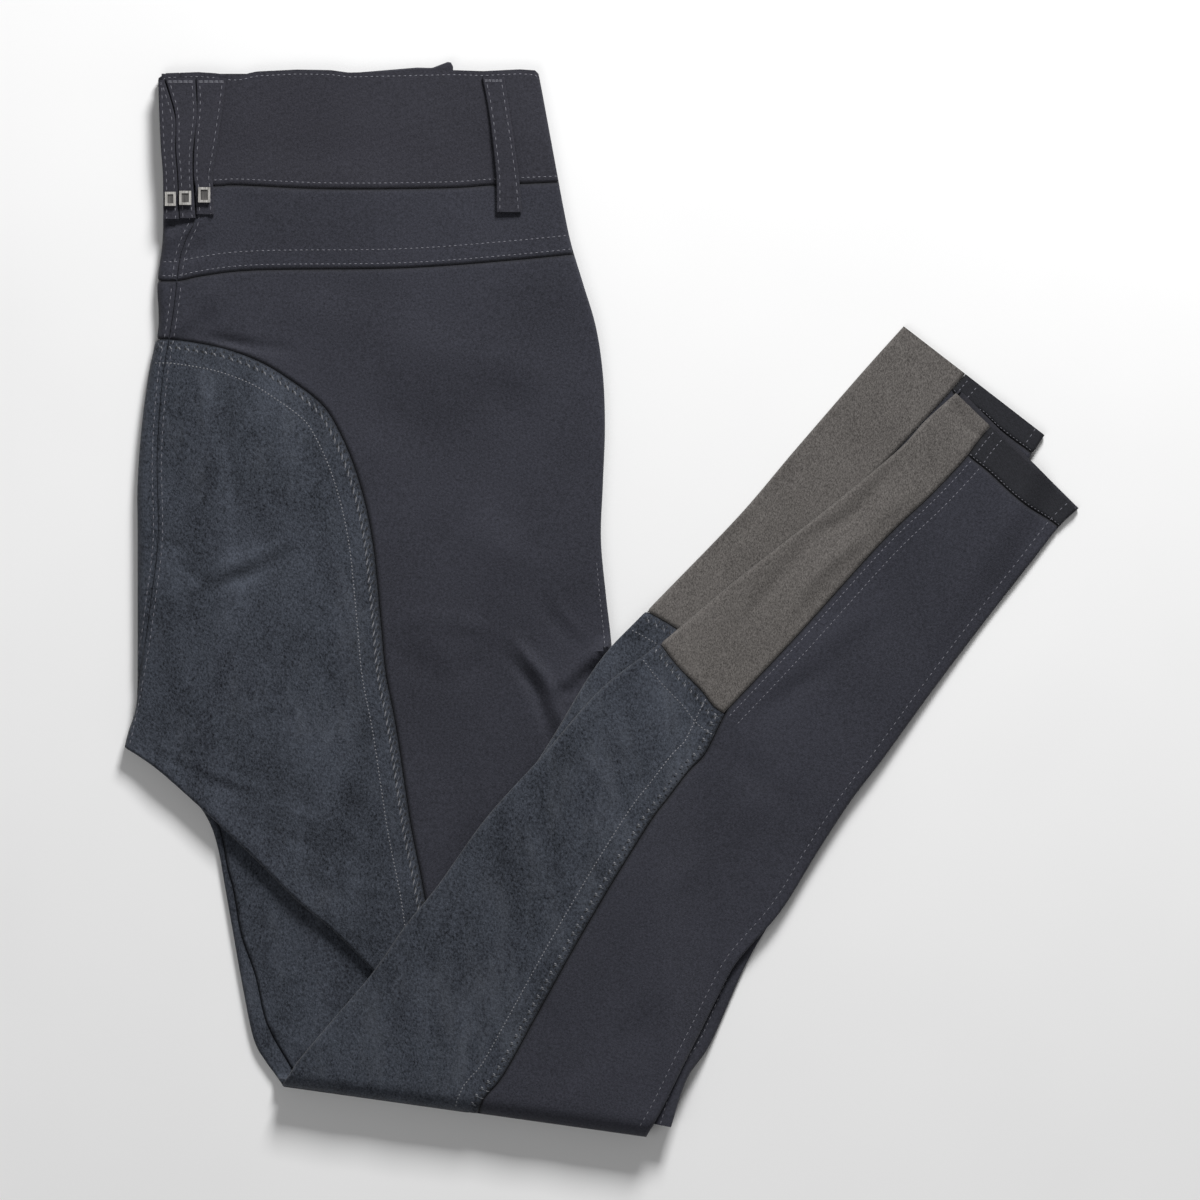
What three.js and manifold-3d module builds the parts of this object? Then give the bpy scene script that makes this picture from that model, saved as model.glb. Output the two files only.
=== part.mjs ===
// Riding breeches, folded in half along the centre back and laid flat, with both legs
// folded up at the knee towards the upper right.
//
// Millimetres. +Z up, the floor at z = 0, the waist towards +Y, the hems towards +X.
// The origin is the middle of the garment's outline on the floor.
//
// Every lay is a flattened tube with a rounded edge, made through sections. A cloth wall is
// the lay less the same lay drawn in by the wall's thickness, and the panels are cut out of
// that wall along their seams.

import * as THREE from 'three';
import { mergeVertices } from 'three/addons/utils/BufferGeometryUtils.js';
import Module from 'manifold-3d';

const wasm = await Module();
wasm.setup();

// Driving sizes
const SEAM_GAP = 0.3;
const SOFTSHELL_WALL = 1.2;
const SUEDE_PROUD = 0.4;
const LAY = 4.2;
const TRUNK_TOP = 2 * LAY;
const LEG_BASE = 9.2;
const LEG_STEP = LAY + SEAM_GAP;
const KNEE_MID = 9.0;
const KNEE_DEPTH = 14;
const WAIST_TOP = 264;
const CROTCH_Y = -74;
const FAR = 400;
const ROUND = LAY / 2;
const LAP = 0.1;
const FOLD_FADE = 30;
const FOLD_STRIP_RIGHT = -200;
const KNEE_WALL_DEPTH = 8.8;
const KNEE_ANGLES = [12, 34, 58, 84];
const INNER_THIGH_TUCK = 8;
const FRONT_RECESS = 1.5;
const MOUTH_DEPTH = 12;

// Fineness of the solids
const ARC_TICKS = 2;
const RIGHT_LAY_TICKS = [0.04, 0.1, 0.5];
const LEFT_LAY_TICKS = [0.5];
const SHIN_TICKS = [0.15, 0.3, 0.45, 0.6, 0.72, 0.82, 0.91];
const LOOP_TICKS = [0.5];
const SEAM_TICKS = 14;
const MIN_RADIUS = 0.05;
const WELD = 1e-3;
const SHARP = { topLeft: MIN_RADIUS, bottomLeft: MIN_RADIUS, topRight: MIN_RADIUS, bottomRight: MIN_RADIUS };
const SMALL_ROUND = { topLeft: 0.5, bottomLeft: 0.3, topRight: 0.5, bottomRight: 0.3 };

// Colours
const SOFTSHELL = 0x38393f;
const WAIST_TONE = 0x38383f;
const SUEDE = 0x3c3f46;
const ELASTIC = 0x5d5957;
const BAND_TONE = 0x303136;
const METAL = 0x9a9a9c;

// The two sides of the trunk, from the waist to the crotch. Both sides share these rows.
const TRUNK_ROWS = [
  { y: WAIST_TOP, left: -221.5, right: -31.5 },
  { y: 254, left: -221, right: -29.5 },
  { y: 235, left: -219.5, right: -26 },
  { y: 216, left: -219, right: -22.5 },
  { y: 197, left: -219, right: -19 },
  { y: 178, left: -219.5, right: -15 },
  { y: 158, left: -222, right: -9 },
  { y: 136, left: -221.5, right: -2.5 },
  { y: 112, left: -226, right: 1 },
  { y: 86, left: -229.5, right: 2 },
  { y: 58, left: -231.5, right: 1 },
  { y: 30, left: -231.5, right: 0 },
  { y: 2, left: -231.5, right: 2.5 },
  { y: -26, left: -231.5, right: 5.5 },
  { y: -52, left: -232, right: 5.5 },
  { y: -66, left: -236, right: 6 },
  { y: CROTCH_Y, left: -238, right: 7 },
];

// The right thigh lies on top. Its left edge is the inseam, which runs down to the knee.
const RIGHT_THIGH_ROWS = [
  { left: -221, leftY: -85.5, right: 8, rightY: -85.5 },
  { left: -193, leftY: -110.5, right: 9, rightY: -110.5 },
  { left: -172.5, leftY: -130, right: 10.5, rightY: -130 },
  { left: -153, leftY: -149.5, right: 12.5, rightY: -150 },
  { left: -133.5, leftY: -166, right: 14.5, rightY: -169 },
  { left: -114, leftY: -185.5, right: 17, rightY: -192 },
  { left: -96.5, leftY: -208, right: 20, rightY: -218 },
  { left: -82, leftY: -229, right: 22, rightY: -240 },
  { left: -73, leftY: -242, right: 22.5, rightY: -255 },
];

// The left thigh lies underneath and shows beside the right one.
const LEFT_THIGH_ROWS = [
  { left: -221, leftY: -84.5, right: 8, rightY: -85.5 },
  { left: -205.5, leftY: -98, right: 9, rightY: -101 },
  { left: -196.5, leftY: -110, right: 9.5, rightY: -112 },
  { left: -191.5, leftY: -124, right: 10, rightY: -128 },
  { left: -188, leftY: -143, right: 11.5, rightY: -149 },
  { left: -184.5, leftY: -163, right: 14, rightY: -172 },
  { left: -179, leftY: -194, right: 18, rightY: -206 },
  { left: -173.5, leftY: -220, right: 20.5, rightY: -240 },
  { left: -167, leftY: -232, right: 22.5, rightY: -256 },
  { left: -158.5, leftY: -243.5, right: 22.5, rightY: -269 },
];

// The left lower leg lies on top of everything. "under" is the share of its width that
// lies on the right lower leg.
const LEFT_SHIN_ROWS = [
  { left: -159, leftY: -243, right: 22.5, rightY: -269, under: 1 },
  { left: -151, leftY: -231, right: 31, rightY: -254, under: 1 },
  { left: -135.5, leftY: -212.5, right: 41.5, rightY: -232.5, under: 1 },
  { left: -113.5, leftY: -186.5, right: 51, rightY: -214, under: 1 },
  { left: -97.5, leftY: -163.5, right: 59, rightY: -198, under: 1 },
  { left: -81, leftY: -143, right: 68.5, rightY: -181, under: 1 },
  { left: -57, leftY: -109.5, right: 90, rightY: -156, under: 0.96 },
  { left: -29, leftY: -78.5, right: 108, rightY: -127, under: 0.95 },
  { left: 0, leftY: -45.5, right: 125, rightY: -101, under: 0.93 },
  { left: 30, leftY: -22, right: 141, rightY: -80, under: 0.92 },
  { left: 67.5, leftY: 9.5, right: 165, rightY: -47, under: 0.86 },
  { left: 113.5, leftY: 45.5, right: 193, rightY: -10, under: 0.78 },
  { left: 148, leftY: 74, right: 216.5, rightY: 20, under: 0.72 },
  { left: 162, leftY: 89, right: 229, rightY: 36, under: 0.68 },
  { left: 177.5, leftY: 103, right: 238, rightY: 44.5, under: 0.62 },
];

// The right lower leg lies under the left one and peeks out at the upper left and the hem.
const RIGHT_SHIN_ROWS = [
  { left: -144, leftY: -227, right: 35, rightY: -264 },
  { left: -130, leftY: -212, right: 43, rightY: -240 },
  { left: -107, leftY: -184, right: 55, rightY: -222 },
  { left: -80, leftY: -147, right: 72, rightY: -184 },
  { left: -50, leftY: -109, right: 87, rightY: -158 },
  { left: -25, leftY: -71, right: 103, rightY: -130 },
  { left: -1, leftY: -32, right: 121, rightY: -103 },
  { left: 23, leftY: -6, right: 137, rightY: -75 },
  { left: 68, leftY: 40.5, right: 160, rightY: -32 },
  { left: 97, leftY: 74.5, right: 181, rightY: 10 },
  { left: 129.5, leftY: 112, right: 203, rightY: 52 },
  { left: 151.5, leftY: 136.5, right: 222, rightY: 82 },
];

// Seams, as the points they pass through, left to right or top to bottom.
const WAIST_SEAM = [[-235, 206.5], [-193, 206.5], [-182, 207], [-135, 205], [-78, 205.5],
  [-54, 207], [-10, 209]];
const YOKE_SEAM = [[-236, 160], [-213, 159], [-200, 161.5], [-172, 164.5], [-100, 165.5],
  [-44, 169.5], [5, 174.5]];
const SEAT_EDGE = [
  [-240, 129.5], [-219.5, 130], [-211, 129.5], [-195.5, 127], [-184, 124], [-169, 118], [-156, 110],
  [-143.5, 101], [-135, 91.5], [-125, 71], [-118, 48.5], [-114, 28], [-112, 10.5], [-109.5, -17],
  [-107.5, -37.5], [-102.5, -63.5], [-97.5, -96.5], [-94.5, -116], [-88.5, -146.5], [-84, -176],
  [-78, -206], [-70, -236], [-60, -275],
];
const CENTRE_BACK_SEAM = [[-211.5, 275], [-207, 215], [-202.5, 192], [-205.5, 182], [-210, 173],
  [-212.5, 160], [-213, 150], [-217, 130], [-224.5, 71], [-223.5, 31], [-227, 0], [-229, -25],
  [-236, -60], [-241, -84]];
const LEFT_INSEAM = [[-212, -84], [-200, -98], [-191, -115], [-187, -135], [-184, -146], [-180, -168.5],
  [-173, -188.5], [-167.5, -212], [-157, -231.5], [-150, -243], [-140, -262]];
const SHIN_SUEDE_EDGE = [[-62, -285], [-60.5, -254], [-49.5, -239], [-33, -209.5], [-14.5, -176], [6, -141],
  [24.5, -111.5], [33, -100.5], [44.5, -85.5], [52, -77.5], [62, -57.5], [70, -45]];
const CALF_LOWER_SEAM = [[-5, 20], [10, 2], [30, -22.5], [38.5, -33.5], [50, -45.5], [56.5, -54],
  [62, -57.5]];
const CALF_EDGE = [[62, -56.5], [97, -19.5], [139.5, 27.5], [164.5, 51.5], [181.5, 69.5],
  [189, 79.5], [200, 92]];
const LEFT_BAND_SEAM = [[181.5, 75], [184.5, 71], [194, 63.5], [204, 54], [214, 46], [228, 37], [240, 24]];
const RIGHT_BAND_SEAM = [[176, 104], [180, 99], [191, 93], [197.5, 86.5], [208.5, 78],
  [216, 72.5], [228, 60]];

const RIGHT_SUEDE_EDGE = [[-62, -285], [-50, -239], [-15, -176], [20, -115], [44, -78], [56, -45], [60, -30]];
const RIGHT_CALF_LOWER_SEAM = [[8, 2], [23, -6], [37.5, -14.5], [50, -25], [58, -36], [70, -48]];
const RIGHT_CALF_EDGE = [[56, -50], [58, -36], [90, 12], [130, 55], [165, 93], [181, 111], [190, 122]];

// The stretch of the front waistband that shows above the back one
const FRONT_PEEK = {
  left: -121,
  right: -73.5,
  thick: 2.2,
  outline: [[-121, 252.5], [-73.5, 252.5], [-73.5, 264.5], [-74.5, 268.5], [-76.5, 269], [-84.5, 265.7],
    [-92, 265.9], [-121, 263.5]],
};

// Belt loops, each from its top end to its foot
const LOOP_TOP = 261;
const LOOP_FOOT = 190;
const LOOP_THICK = 1.5;
const LOOP_ARCH = 0.8;
const LOOPS = {
  belt_loop_back_1: [
    { x: -219.4, y: 261, wide: 3.4 }, { x: -217.5, y: 225, wide: 4.6 }, { x: -215, y: 190, wide: 6 },
  ],
  belt_loop_back_2: [
    { x: -209.8, y: 260.5, wide: 14 }, { x: -208.5, y: 225, wide: 9.5 }, { x: -207.8, y: 190.5, wide: 7.5 },
  ],
  belt_loop_back_3: [
    { x: -194.3, y: 260.5, wide: 13.4 }, { x: -197, y: 225, wide: 10.5 }, { x: -198.8, y: 192.5, wide: 8.4 },
  ],
  belt_loop_side: [
    { x: -53, y: 261, wide: 14 }, { x: -49, y: 233, wide: 12.4 }, { x: -47.2, y: 214, wide: 12.4 },
    { x: -46.3, y: 194, wide: 12 },
  ],
};
const CLASP_THICK = 1.2;
const CLASP_RIM = 1.2;
const CLASP_SEAT = 0.45;
const CLASPS = [
  { x: -215.2, y: 200, wide: 5.4, tall: 7 },
  { x: -207.8, y: 200.5, wide: 6, tall: 7 },
  { x: -198.3, y: 202, wide: 6, tall: 7.6 },
];

// The right inseam edge stands up a little off the left thigh
const INSEAM_LIFT = 1.6;
const INSEAM_LIFT_WIDTH = 14;
const LIFT_LOWER_END = -174;
const LIFT_LOWER_FADE = 25;
const LIFT_UPPER_FADE = 12;

// Past the right lower leg's edge, the left one comes down a step over this share of its width
const STEP_START = 0.02;
const STEP_FALL = 0.2;

function smooth(share) {
  const held = Math.min(1, Math.max(0, share));
  return held * held * (3 - 2 * held);
}

function mix(a, b, share) {
  return a + (b - a) * share;
}

// A solid from points and triangles
function solidOf(positions, triangles) {
  const raw = new THREE.BufferGeometry();
  raw.setAttribute('position', new THREE.Float32BufferAttribute(positions, 3));
  raw.setIndex(triangles);
  return solidFromGeometry(raw);
}

function solidFromGeometry(raw, weld = 1e-4) {
  raw.deleteAttribute('normal');
  raw.deleteAttribute('uv');
  const merged = mergeVertices(raw, weld);
  return new wasm.Manifold(new wasm.Mesh({
    numProp: 3,
    vertProperties: Float32Array.from(merged.attributes.position.array),
    triVerts: Uint32Array.from(merged.index.array),
  }));
}

// A smooth line through points
function splineThrough(points, steps) {
  const curve = new THREE.CatmullRomCurve3(
    points.map(([x, y]) => new THREE.Vector3(x, y, 0)), false, 'centripetal');
  return curve.getPoints(steps).map((p) => [p.x, p.y]);
}

// A line moved sideways; a positive amount moves it to the left of its own direction
function shifted(line, amount) {
  return line.map(([x, y], i) => {
    const before = line[Math.max(0, i - 1)];
    const after = line[Math.min(line.length - 1, i + 1)];
    const dx = after[0] - before[0];
    const dy = after[1] - before[1];
    const length = Math.hypot(dx, dy);
    return [x - dy / length * amount, y + dx / length * amount];
  });
}

// An upright block over a plan outline
function block(outline, low = -FAR, high = FAR) {
  const shape = new THREE.Shape(outline.map(([x, y]) => new THREE.Vector2(x, y)));
  const raw = new THREE.ExtrudeGeometry(shape, { depth: high - low, bevelEnabled: false });
  raw.translate(0, 0, low);
  return solidFromGeometry(raw);
}

// An upright block over a rectangle of the plan, and one without sides
function boxOf(left, right, front, back, low = -FAR, high = FAR) {
  return block([[left, front], [right, front], [right, back], [left, back]], low, high);
}

function slab(low, high) {
  return boxOf(-FAR, FAR, -FAR, FAR, low, high);
}

// Where the trunk and thigh end on the right, at a given y
function trunkRight(y) {
  const rows = [
    ...TRUNK_ROWS.map((row) => [row.y, row.right]),
    ...LEFT_THIGH_ROWS.map((row) => [row.rightY, row.right]),
  ];
  for (let i = 1; i < rows.length; i += 1) {
    if (y > rows[i][0]) {
      const share = (rows[i - 1][0] - y) / (rows[i - 1][0] - rows[i][0]);
      return mix(rows[i - 1][1], rows[i][1], Math.max(0, share));
    }
  }
  return rows[rows.length - 1][1];
}

// The lower legs lie on the thighs, then come down to the floor beside them
const DROP_START = 13;
const DROP_LENGTH = 30;
function legBase(x, y) {
  return LEG_BASE * (1 - smooth((x - trunkRight(y) - DROP_START) / DROP_LENGTH));
}

// Sections between the rows of a table, evenly spaced by a smooth curve through the ends
function between(rows, perRow) {
  const fields = Object.keys(rows[0]);
  const out = [];
  for (let i = 0; i < rows.length - 1; i += 1) {
    for (let k = 0; k < perRow; k += 1) {
      const share = k / perRow;
      const section = {};
      for (const field of fields) {
        const p0 = rows[Math.max(0, i - 1)][field];
        const p1 = rows[i][field];
        const p2 = rows[i + 1][field];
        const p3 = rows[Math.min(rows.length - 1, i + 2)][field];
        const s2 = share * share;
        const s3 = s2 * share;
        section[field] = 0.5 * (2 * p1 + (p2 - p0) * share + (2 * p0 - 5 * p1 + 4 * p2 - p3) * s2
          + (3 * p1 - p0 - 3 * p2 + p3) * s3);
      }
      out.push(section);
    }
  }
  out.push({ ...rows[rows.length - 1] });
  return out;
}

// One ring of a lay: a rounded band in the upright plane through both of its edges. "draw"
// says how far each side is drawn in, and "ticks" where the flat runs have points.
function ring(section, draw, ticks) {
  const { left, leftY, right, rightY } = section;
  const width = Math.hypot(right - left, rightY - leftY);
  const ux = (right - left) / width;
  const uy = (rightY - leftY) / width;
  const near = draw.left;
  const far = width - draw.right;
  const bottom = section.low + draw.bottom;
  const top = section.high - draw.top;
  const tall = top - bottom;
  const fit = (name, drawn) => Math.max(MIN_RADIUS, Math.min(section.radii[name] - drawn, tall - MIN_RADIUS));
  const topLeft = fit('topLeft', draw.top);
  const bottomLeft = Math.min(fit('bottomLeft', draw.bottom), tall - topLeft);
  const topRight = Math.min(fit('topRight', draw.top), tall / 2);
  const bottomRight = Math.min(fit('bottomRight', draw.bottom), tall / 2);
  const flat = [];
  const arc = (u, z, radius, start) => {
    for (let k = 0; k <= ARC_TICKS; k += 1) {
      const angle = (start - 90 * k / ARC_TICKS) * Math.PI / 180;
      flat.push([u + radius * Math.cos(angle), z + radius * Math.sin(angle)]);
    }
  };
  const run = (from, to, z) => {
    for (const tick of to > from ? ticks : ticks.toReversed()) {
      flat.push([to > from ? mix(from, to, tick) : mix(to, from, tick), z]);
    }
  };
  arc(near + topLeft, top - topLeft, topLeft, 180);
  run(near + topLeft, far - topRight, top);
  arc(far - topRight, top - topRight, topRight, 90);
  arc(far - bottomRight, bottom + bottomRight, bottomRight, 0);
  run(far - bottomRight, near + bottomLeft, bottom);
  arc(near + bottomLeft, bottom + bottomLeft, bottomLeft, -90);
  return flat.map(([u, z]) => section.place(left + ux * u, leftY + uy * u, z, u / width, width));
}

// A closed solid through rings. Each end is joined across from its upper run to its lower
// one, so that it stays flat.
function loft(rings) {
  const positions = rings.flat(2);
  const triangles = [];
  const count = rings[0].length;
  for (let i = 0; i < rings.length - 1; i += 1) {
    for (let k = 0; k < count; k += 1) {
      const a = i * count + k;
      const b = i * count + (k + 1) % count;
      triangles.push(a, b, a + count, b, b + count, a + count);
    }
  }
  const last = (rings.length - 1) * count;
  for (let k = 0; k < count / 2 - 1; k += 1) {
    const [a, b, c, d] = [k, k + 1, count - 1 - k, count - 2 - k];
    triangles.push(a, c, b, b, c, d);
    triangles.push(last + a, last + b, last + c, last + b, last + d, last + c);
  }
  const solid = solidOf(positions, triangles);
  if (solid.volume() > 0) {
    return solid;
  }
  for (let i = 0; i < triangles.length; i += 3) {
    [triangles[i], triangles[i + 1]] = [triangles[i + 1], triangles[i]];
  }
  return solidOf(positions, triangles);
}

// A first or last section moved outward along the lay, so that an inner lay leaves it open
function pushed(section, inner, amount) {
  const dx = (section.left + section.right - inner.left - inner.right) / 2;
  const dy = (section.leftY + section.rightY - inner.leftY - inner.rightY) / 2;
  const length = Math.hypot(dx, dy);
  const moved = { ...section };
  moved.left += dx / length * amount;
  moved.right += dx / length * amount;
  moved.leftY += dy / length * amount;
  moved.rightY += dy / length * amount;
  return moved;
}

// The knee fold is a quarter turn about the fold's middle height, once below it on the left
// thigh and once above it on the left lower leg
function kneeSections(edge, inner, radius, drawn) {
  return KNEE_ANGLES.map((angle) => {
    const turn = angle * Math.PI / 180;
    const share = (radius - (radius - drawn) * Math.cos(turn)) / KNEE_DEPTH;
    const section = { rise: (radius - drawn) * Math.sin(turn) + drawn };
    for (const field of ['left', 'leftY', 'right', 'rightY']) {
      section[field] = mix(edge[field], inner[field], share);
    }
    return section;
  });
}

function trunkSections() {
  return TRUNK_ROWS.map(({ y, left, right }) => ({
    left, leftY: y, right, rightY: y, fold: smooth((y - CROTCH_Y) / FOLD_FADE),
  }));
}

// The right side of the trunk and the right thigh: the upper lay
function rightLay(draw) {
  const sections = [...trunkSections(), ...RIGHT_THIGH_ROWS.map((row) => ({ ...row, fold: 0 }))];
  const last = sections.length - 1;
  sections[0] = pushed(sections[0], sections[1], draw.end);
  sections[last] = pushed(sections[last], sections[last - 1], draw.end);
  const placed = sections.map((section) => ({
    ...section,
    low: mix(LAY + SEAM_GAP / 2, LAY - LAP, section.fold),
    high: TRUNK_TOP,
    radii: {
      topLeft: mix(ROUND, LAY, section.fold),
      bottomLeft: mix(ROUND, MIN_RADIUS, section.fold),
      topRight: ROUND,
      bottomRight: ROUND,
    },
    place(x, y, z, share, width) {
      const free = smooth((y - LIFT_LOWER_END) / LIFT_LOWER_FADE) * smooth((CROTCH_Y - y) / LIFT_UPPER_FADE);
      const lift = INSEAM_LIFT * free * Math.exp(-((share * width / INSEAM_LIFT_WIDTH) ** 2));
      return [x, y, z + lift];
    },
  }));
  return loft(placed.map((section) => ring(section, draw, RIGHT_LAY_TICKS)));
}

// The left side of the trunk and the left thigh: the lay that rests on the floor. Its last
// stretch thickens to the whole lower half of the knee fold. "open" is how far the trunk and
// the knee are drawn in at the top, where the lay has no cloth of its own.
function leftLay(draw, open = draw.top) {
  const radius = KNEE_MID - SEAM_GAP / 2;
  const thigh = LEFT_THIGH_ROWS.map((row) => ({ ...row, fold: 0 }));
  const edge = thigh.pop();
  const sections = [...trunkSections(), ...thigh].map((section) => ({
    ...section, low: 0, high: mix(LAY - SEAM_GAP / 2, LAY + LAP, section.fold), open: section.fold > 0.5,
  }));
  sections[0] = pushed(sections[0], sections[1], draw.end);
  const knee = kneeSections(edge, thigh[thigh.length - 1], radius, draw.bottom).map((section) => ({
    ...section, fold: 0, low: radius - section.rise, high: radius, open: true,
  }));
  const placed = [...sections, ...knee.reverse()].map((section) => ({
    ...section,
    radii: {
      topLeft: mix(ROUND, MIN_RADIUS, section.fold),
      bottomLeft: mix(ROUND, LAY, section.fold),
      topRight: ROUND,
      bottomRight: ROUND,
    },
    place: (x, y, z) => [x, y, z],
  }));
  return loft(placed.map((section) => {
    const top = section.open ? open : draw.top;
    return ring(section, { ...draw, top }, LEFT_LAY_TICKS);
  }));
}

const EVEN_ROUND = { topLeft: ROUND, bottomLeft: ROUND, topRight: ROUND, bottomRight: ROUND };

// The left lower leg, with the upper half of the knee fold at its start. With "halfway" it
// is only what lies below the middle of the lay.
function leftShin(draw, halfway = false) {
  const radius = LEG_BASE + LEG_STEP + LAY - KNEE_MID - SEAM_GAP / 2;
  const rows = LEFT_SHIN_ROWS.map((row) => ({ ...row, low: 0, high: LAY, middle: LAY / 2 }));
  const knee = kneeSections(rows[0], rows[1], radius, draw.top).map((section) => ({
    ...section,
    under: 1,
    low: LAY - radius,
    high: LAY - radius + section.rise,
    middle: LAY - radius - SEAM_GAP,
  }));
  const sections = [...knee, ...rows.slice(1)];
  const last = sections.length - 1;
  sections[last] = pushed(sections[last], sections[last - 1], draw.end);
  const placed = sections.map((section) => ({
    ...section,
    low: halfway ? section.low - 1 : section.low,
    high: halfway ? section.middle : section.high,
    radii: halfway ? SHARP : EVEN_ROUND,
    place(x, y, z, share) {
      const step = LEG_STEP * (1 - smooth((share - section.under - STEP_START) / STEP_FALL));
      return [x, y, z + legBase(x, y) + step];
    },
  }));
  return loft(placed.map((section) => ring(section, draw, SHIN_TICKS)));
}

// The right lower leg, a flattened tube under the left one
function rightShin(draw) {
  const rows = between(RIGHT_SHIN_ROWS, 2);
  const last = rows.length - 1;
  rows[last] = pushed(rows[last], rows[last - 1], draw.end);
  rows[0] = pushed(rows[0], rows[1], draw.end);
  return loft(rows.map((row) => ring({
    ...row, low: 0, high: LAY, radii: EVEN_ROUND, place: (x, y, z) => [x, y, z + legBase(x, y)],
  }, draw, SHIN_TICKS)));
}

// How far a wall's sides are drawn in: not at all outside, by the wall's thickness inside
const allRound = (draw, end) => ({ top: draw, bottom: draw, left: draw, right: draw, end });
const OUTSIDE = allRound(0, 0);
const SUEDE_OUTSIDE = { ...allRound(-SUEDE_PROUD, 0), bottom: 0 };
const INSIDE = allRound(SOFTSHELL_WALL, 1);
const SWOLLEN = allRound(-1, 1);
const CORE_INSIDE = allRound(SOFTSHELL_WALL + SEAM_GAP, 2);

// The far corners that close a plan region round a seam, on the side named
function closing(seam, side) {
  const [startX, startY] = seam[0];
  const [endX, endY] = seam[seam.length - 1];
  return {
    above: [[FAR, endY], [FAR, FAR], [-FAR, FAR], [-FAR, startY]],
    belowLeft: [[endX, -FAR], [-FAR, -FAR], [-FAR, startY]],
    aboveLeft: [[endX, FAR], [-FAR, FAR], [-FAR, startY]],
    aboveRight: [[FAR, endY], [FAR, FAR], [startX, FAR]],
  }[side];
}

// A plan region on one side of a seam, a little smaller or larger than the seam says, so
// that the two pieces that meet there stand apart by the seam gap
function region(seam, side) {
  const line = splineThrough(seam, SEAM_TICKS);
  const hand = side === 'belowLeft' ? -1 : 1;
  const cut = (grow) => block([...shifted(line, -hand * grow), ...closing(seam, side)]);
  return { inner: cut(-SEAM_GAP / 2), outer: cut(SEAM_GAP / 2) };
}

const waist = region(WAIST_SEAM, 'above');
const aboveYoke = region(YOKE_SEAM, 'above');
const seat = region(SEAT_EDGE, 'belowLeft');
const leftOfBack = region(CENTRE_BACK_SEAM, 'belowLeft');
const leftOfInseam = region(LEFT_INSEAM, 'belowLeft');
const shinSuede = region(SHIN_SUEDE_EDGE, 'aboveLeft');
const aboveCalf = region(CALF_LOWER_SEAM, 'aboveRight');
const leftOfCalfEdge = region(CALF_EDGE, 'aboveLeft');
const leftBand = region(LEFT_BAND_SEAM, 'aboveRight');
const rightSuede = region(RIGHT_SUEDE_EDGE, 'aboveLeft');
const rightAboveCalf = region(RIGHT_CALF_LOWER_SEAM, 'aboveRight');
const leftOfRightCalf = region(RIGHT_CALF_EDGE, 'aboveLeft');
const rightBand = region(RIGHT_BAND_SEAM, 'aboveRight');

// Which part of each lay's wall is cloth that shows: the rest belongs to the hidden layers
const trunkLeftEdge = (low, high) => boxOf(-FAR, FOLD_STRIP_RIGHT, CROTCH_Y, FAR, low, high);
const kneeZone = (depth) => {
  const edge = LEFT_THIGH_ROWS[LEFT_THIGH_ROWS.length - 1];
  const slope = (edge.rightY - edge.leftY) / (edge.right - edge.left);
  const at = (x) => edge.leftY + slope * (x - edge.left) + depth;
  return block([[-FAR, at(-FAR)], [-FAR, -FAR], [FAR, -FAR], [FAR, at(FAR)]]);
};
const rightShows = (grow) => slab(LAY + ROUND - grow, FAR).add(trunkLeftEdge(LAY - grow, FAR));
const leftShows = (grow, inseam) => slab(-FAR, ROUND + grow)
  .add(trunkLeftEdge(-FAR, LAY + grow))
  .add(inseam)
  .add(kneeZone(KNEE_WALL_DEPTH + grow));

const rightInner = rightLay(INSIDE);
const rightShell = rightLay(OUTSIDE).subtract(rightInner).intersect(rightShows(0));
const rightSuedeShell = rightLay(SUEDE_OUTSIDE).subtract(rightInner).intersect(rightShows(0));
const leftInner = leftLay(INSIDE, -1);
const leftTube = leftLay(OUTSIDE).subtract(leftInner);
const leftShown = leftShows(0, leftOfInseam.inner);
const leftShell = leftTube.intersect(leftShown);
const leftSuedeShell = leftLay(SUEDE_OUTSIDE, 0).subtract(leftInner).intersect(leftShown);
const lowerHalf = leftShin({ ...SWOLLEN, top: 0 }, true);
const leftShinInner = leftShin({ ...INSIDE, bottom: -1 });
const rightShinRoom = rightShin(allRound(-SEAM_GAP, SEAM_GAP));
const leftShinTaken = leftShinInner.add(lowerHalf).add(rightShinRoom);
const leftShinShell = leftShin(OUTSIDE).subtract(leftShinTaken);
const leftShinSuedeShell = leftShin(SUEDE_OUTSIDE).subtract(leftShinTaken);
const rightShinInner = rightShin(INSIDE);
const rightShinShell = rightShin(OUTSIDE).subtract(rightShinInner);

const group = new THREE.Group();

function materialOf(colour, roughness, metalness = 0) {
  return new THREE.MeshStandardMaterial({ color: colour, roughness, metalness });
}

const finishes = {
  softshell: () => materialOf(SOFTSHELL, 0.8),
  waist: () => materialOf(WAIST_TONE, 0.8),
  suede: () => materialOf(SUEDE, 0.95),
  elastic: () => materialOf(ELASTIC, 0.9),
  band: () => materialOf(BAND_TONE, 0.85),
  metal: () => materialOf(METAL, 0.35, 1),
};

function geometryOf(solid) {
  const { vertProperties, triVerts } = solid.getMesh();
  const raw = new THREE.BufferGeometry();
  raw.setAttribute('position', new THREE.BufferAttribute(Float32Array.from(vertProperties), 3));
  raw.setIndex(new THREE.BufferAttribute(Uint32Array.from(triVerts), 1));
  return raw;
}

// The largest closed body of a solid; slivers left by the cuts are dropped. It is welded and
// looked at again, because a sliver may hang on it by an edge.
function mainBody(solid) {
  let body = solid;
  for (let pass = 0; pass < 2; pass += 1) {
    const bodies = body.decompose();
    const largest = bodies.reduce((best, next) => (next.volume() > best.volume() ? next : best));
    body = solidFromGeometry(geometryOf(largest), WELD);
  }
  const bodies = body.decompose();
  return bodies.reduce((best, next) => (next.volume() > best.volume() ? next : best));
}

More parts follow.
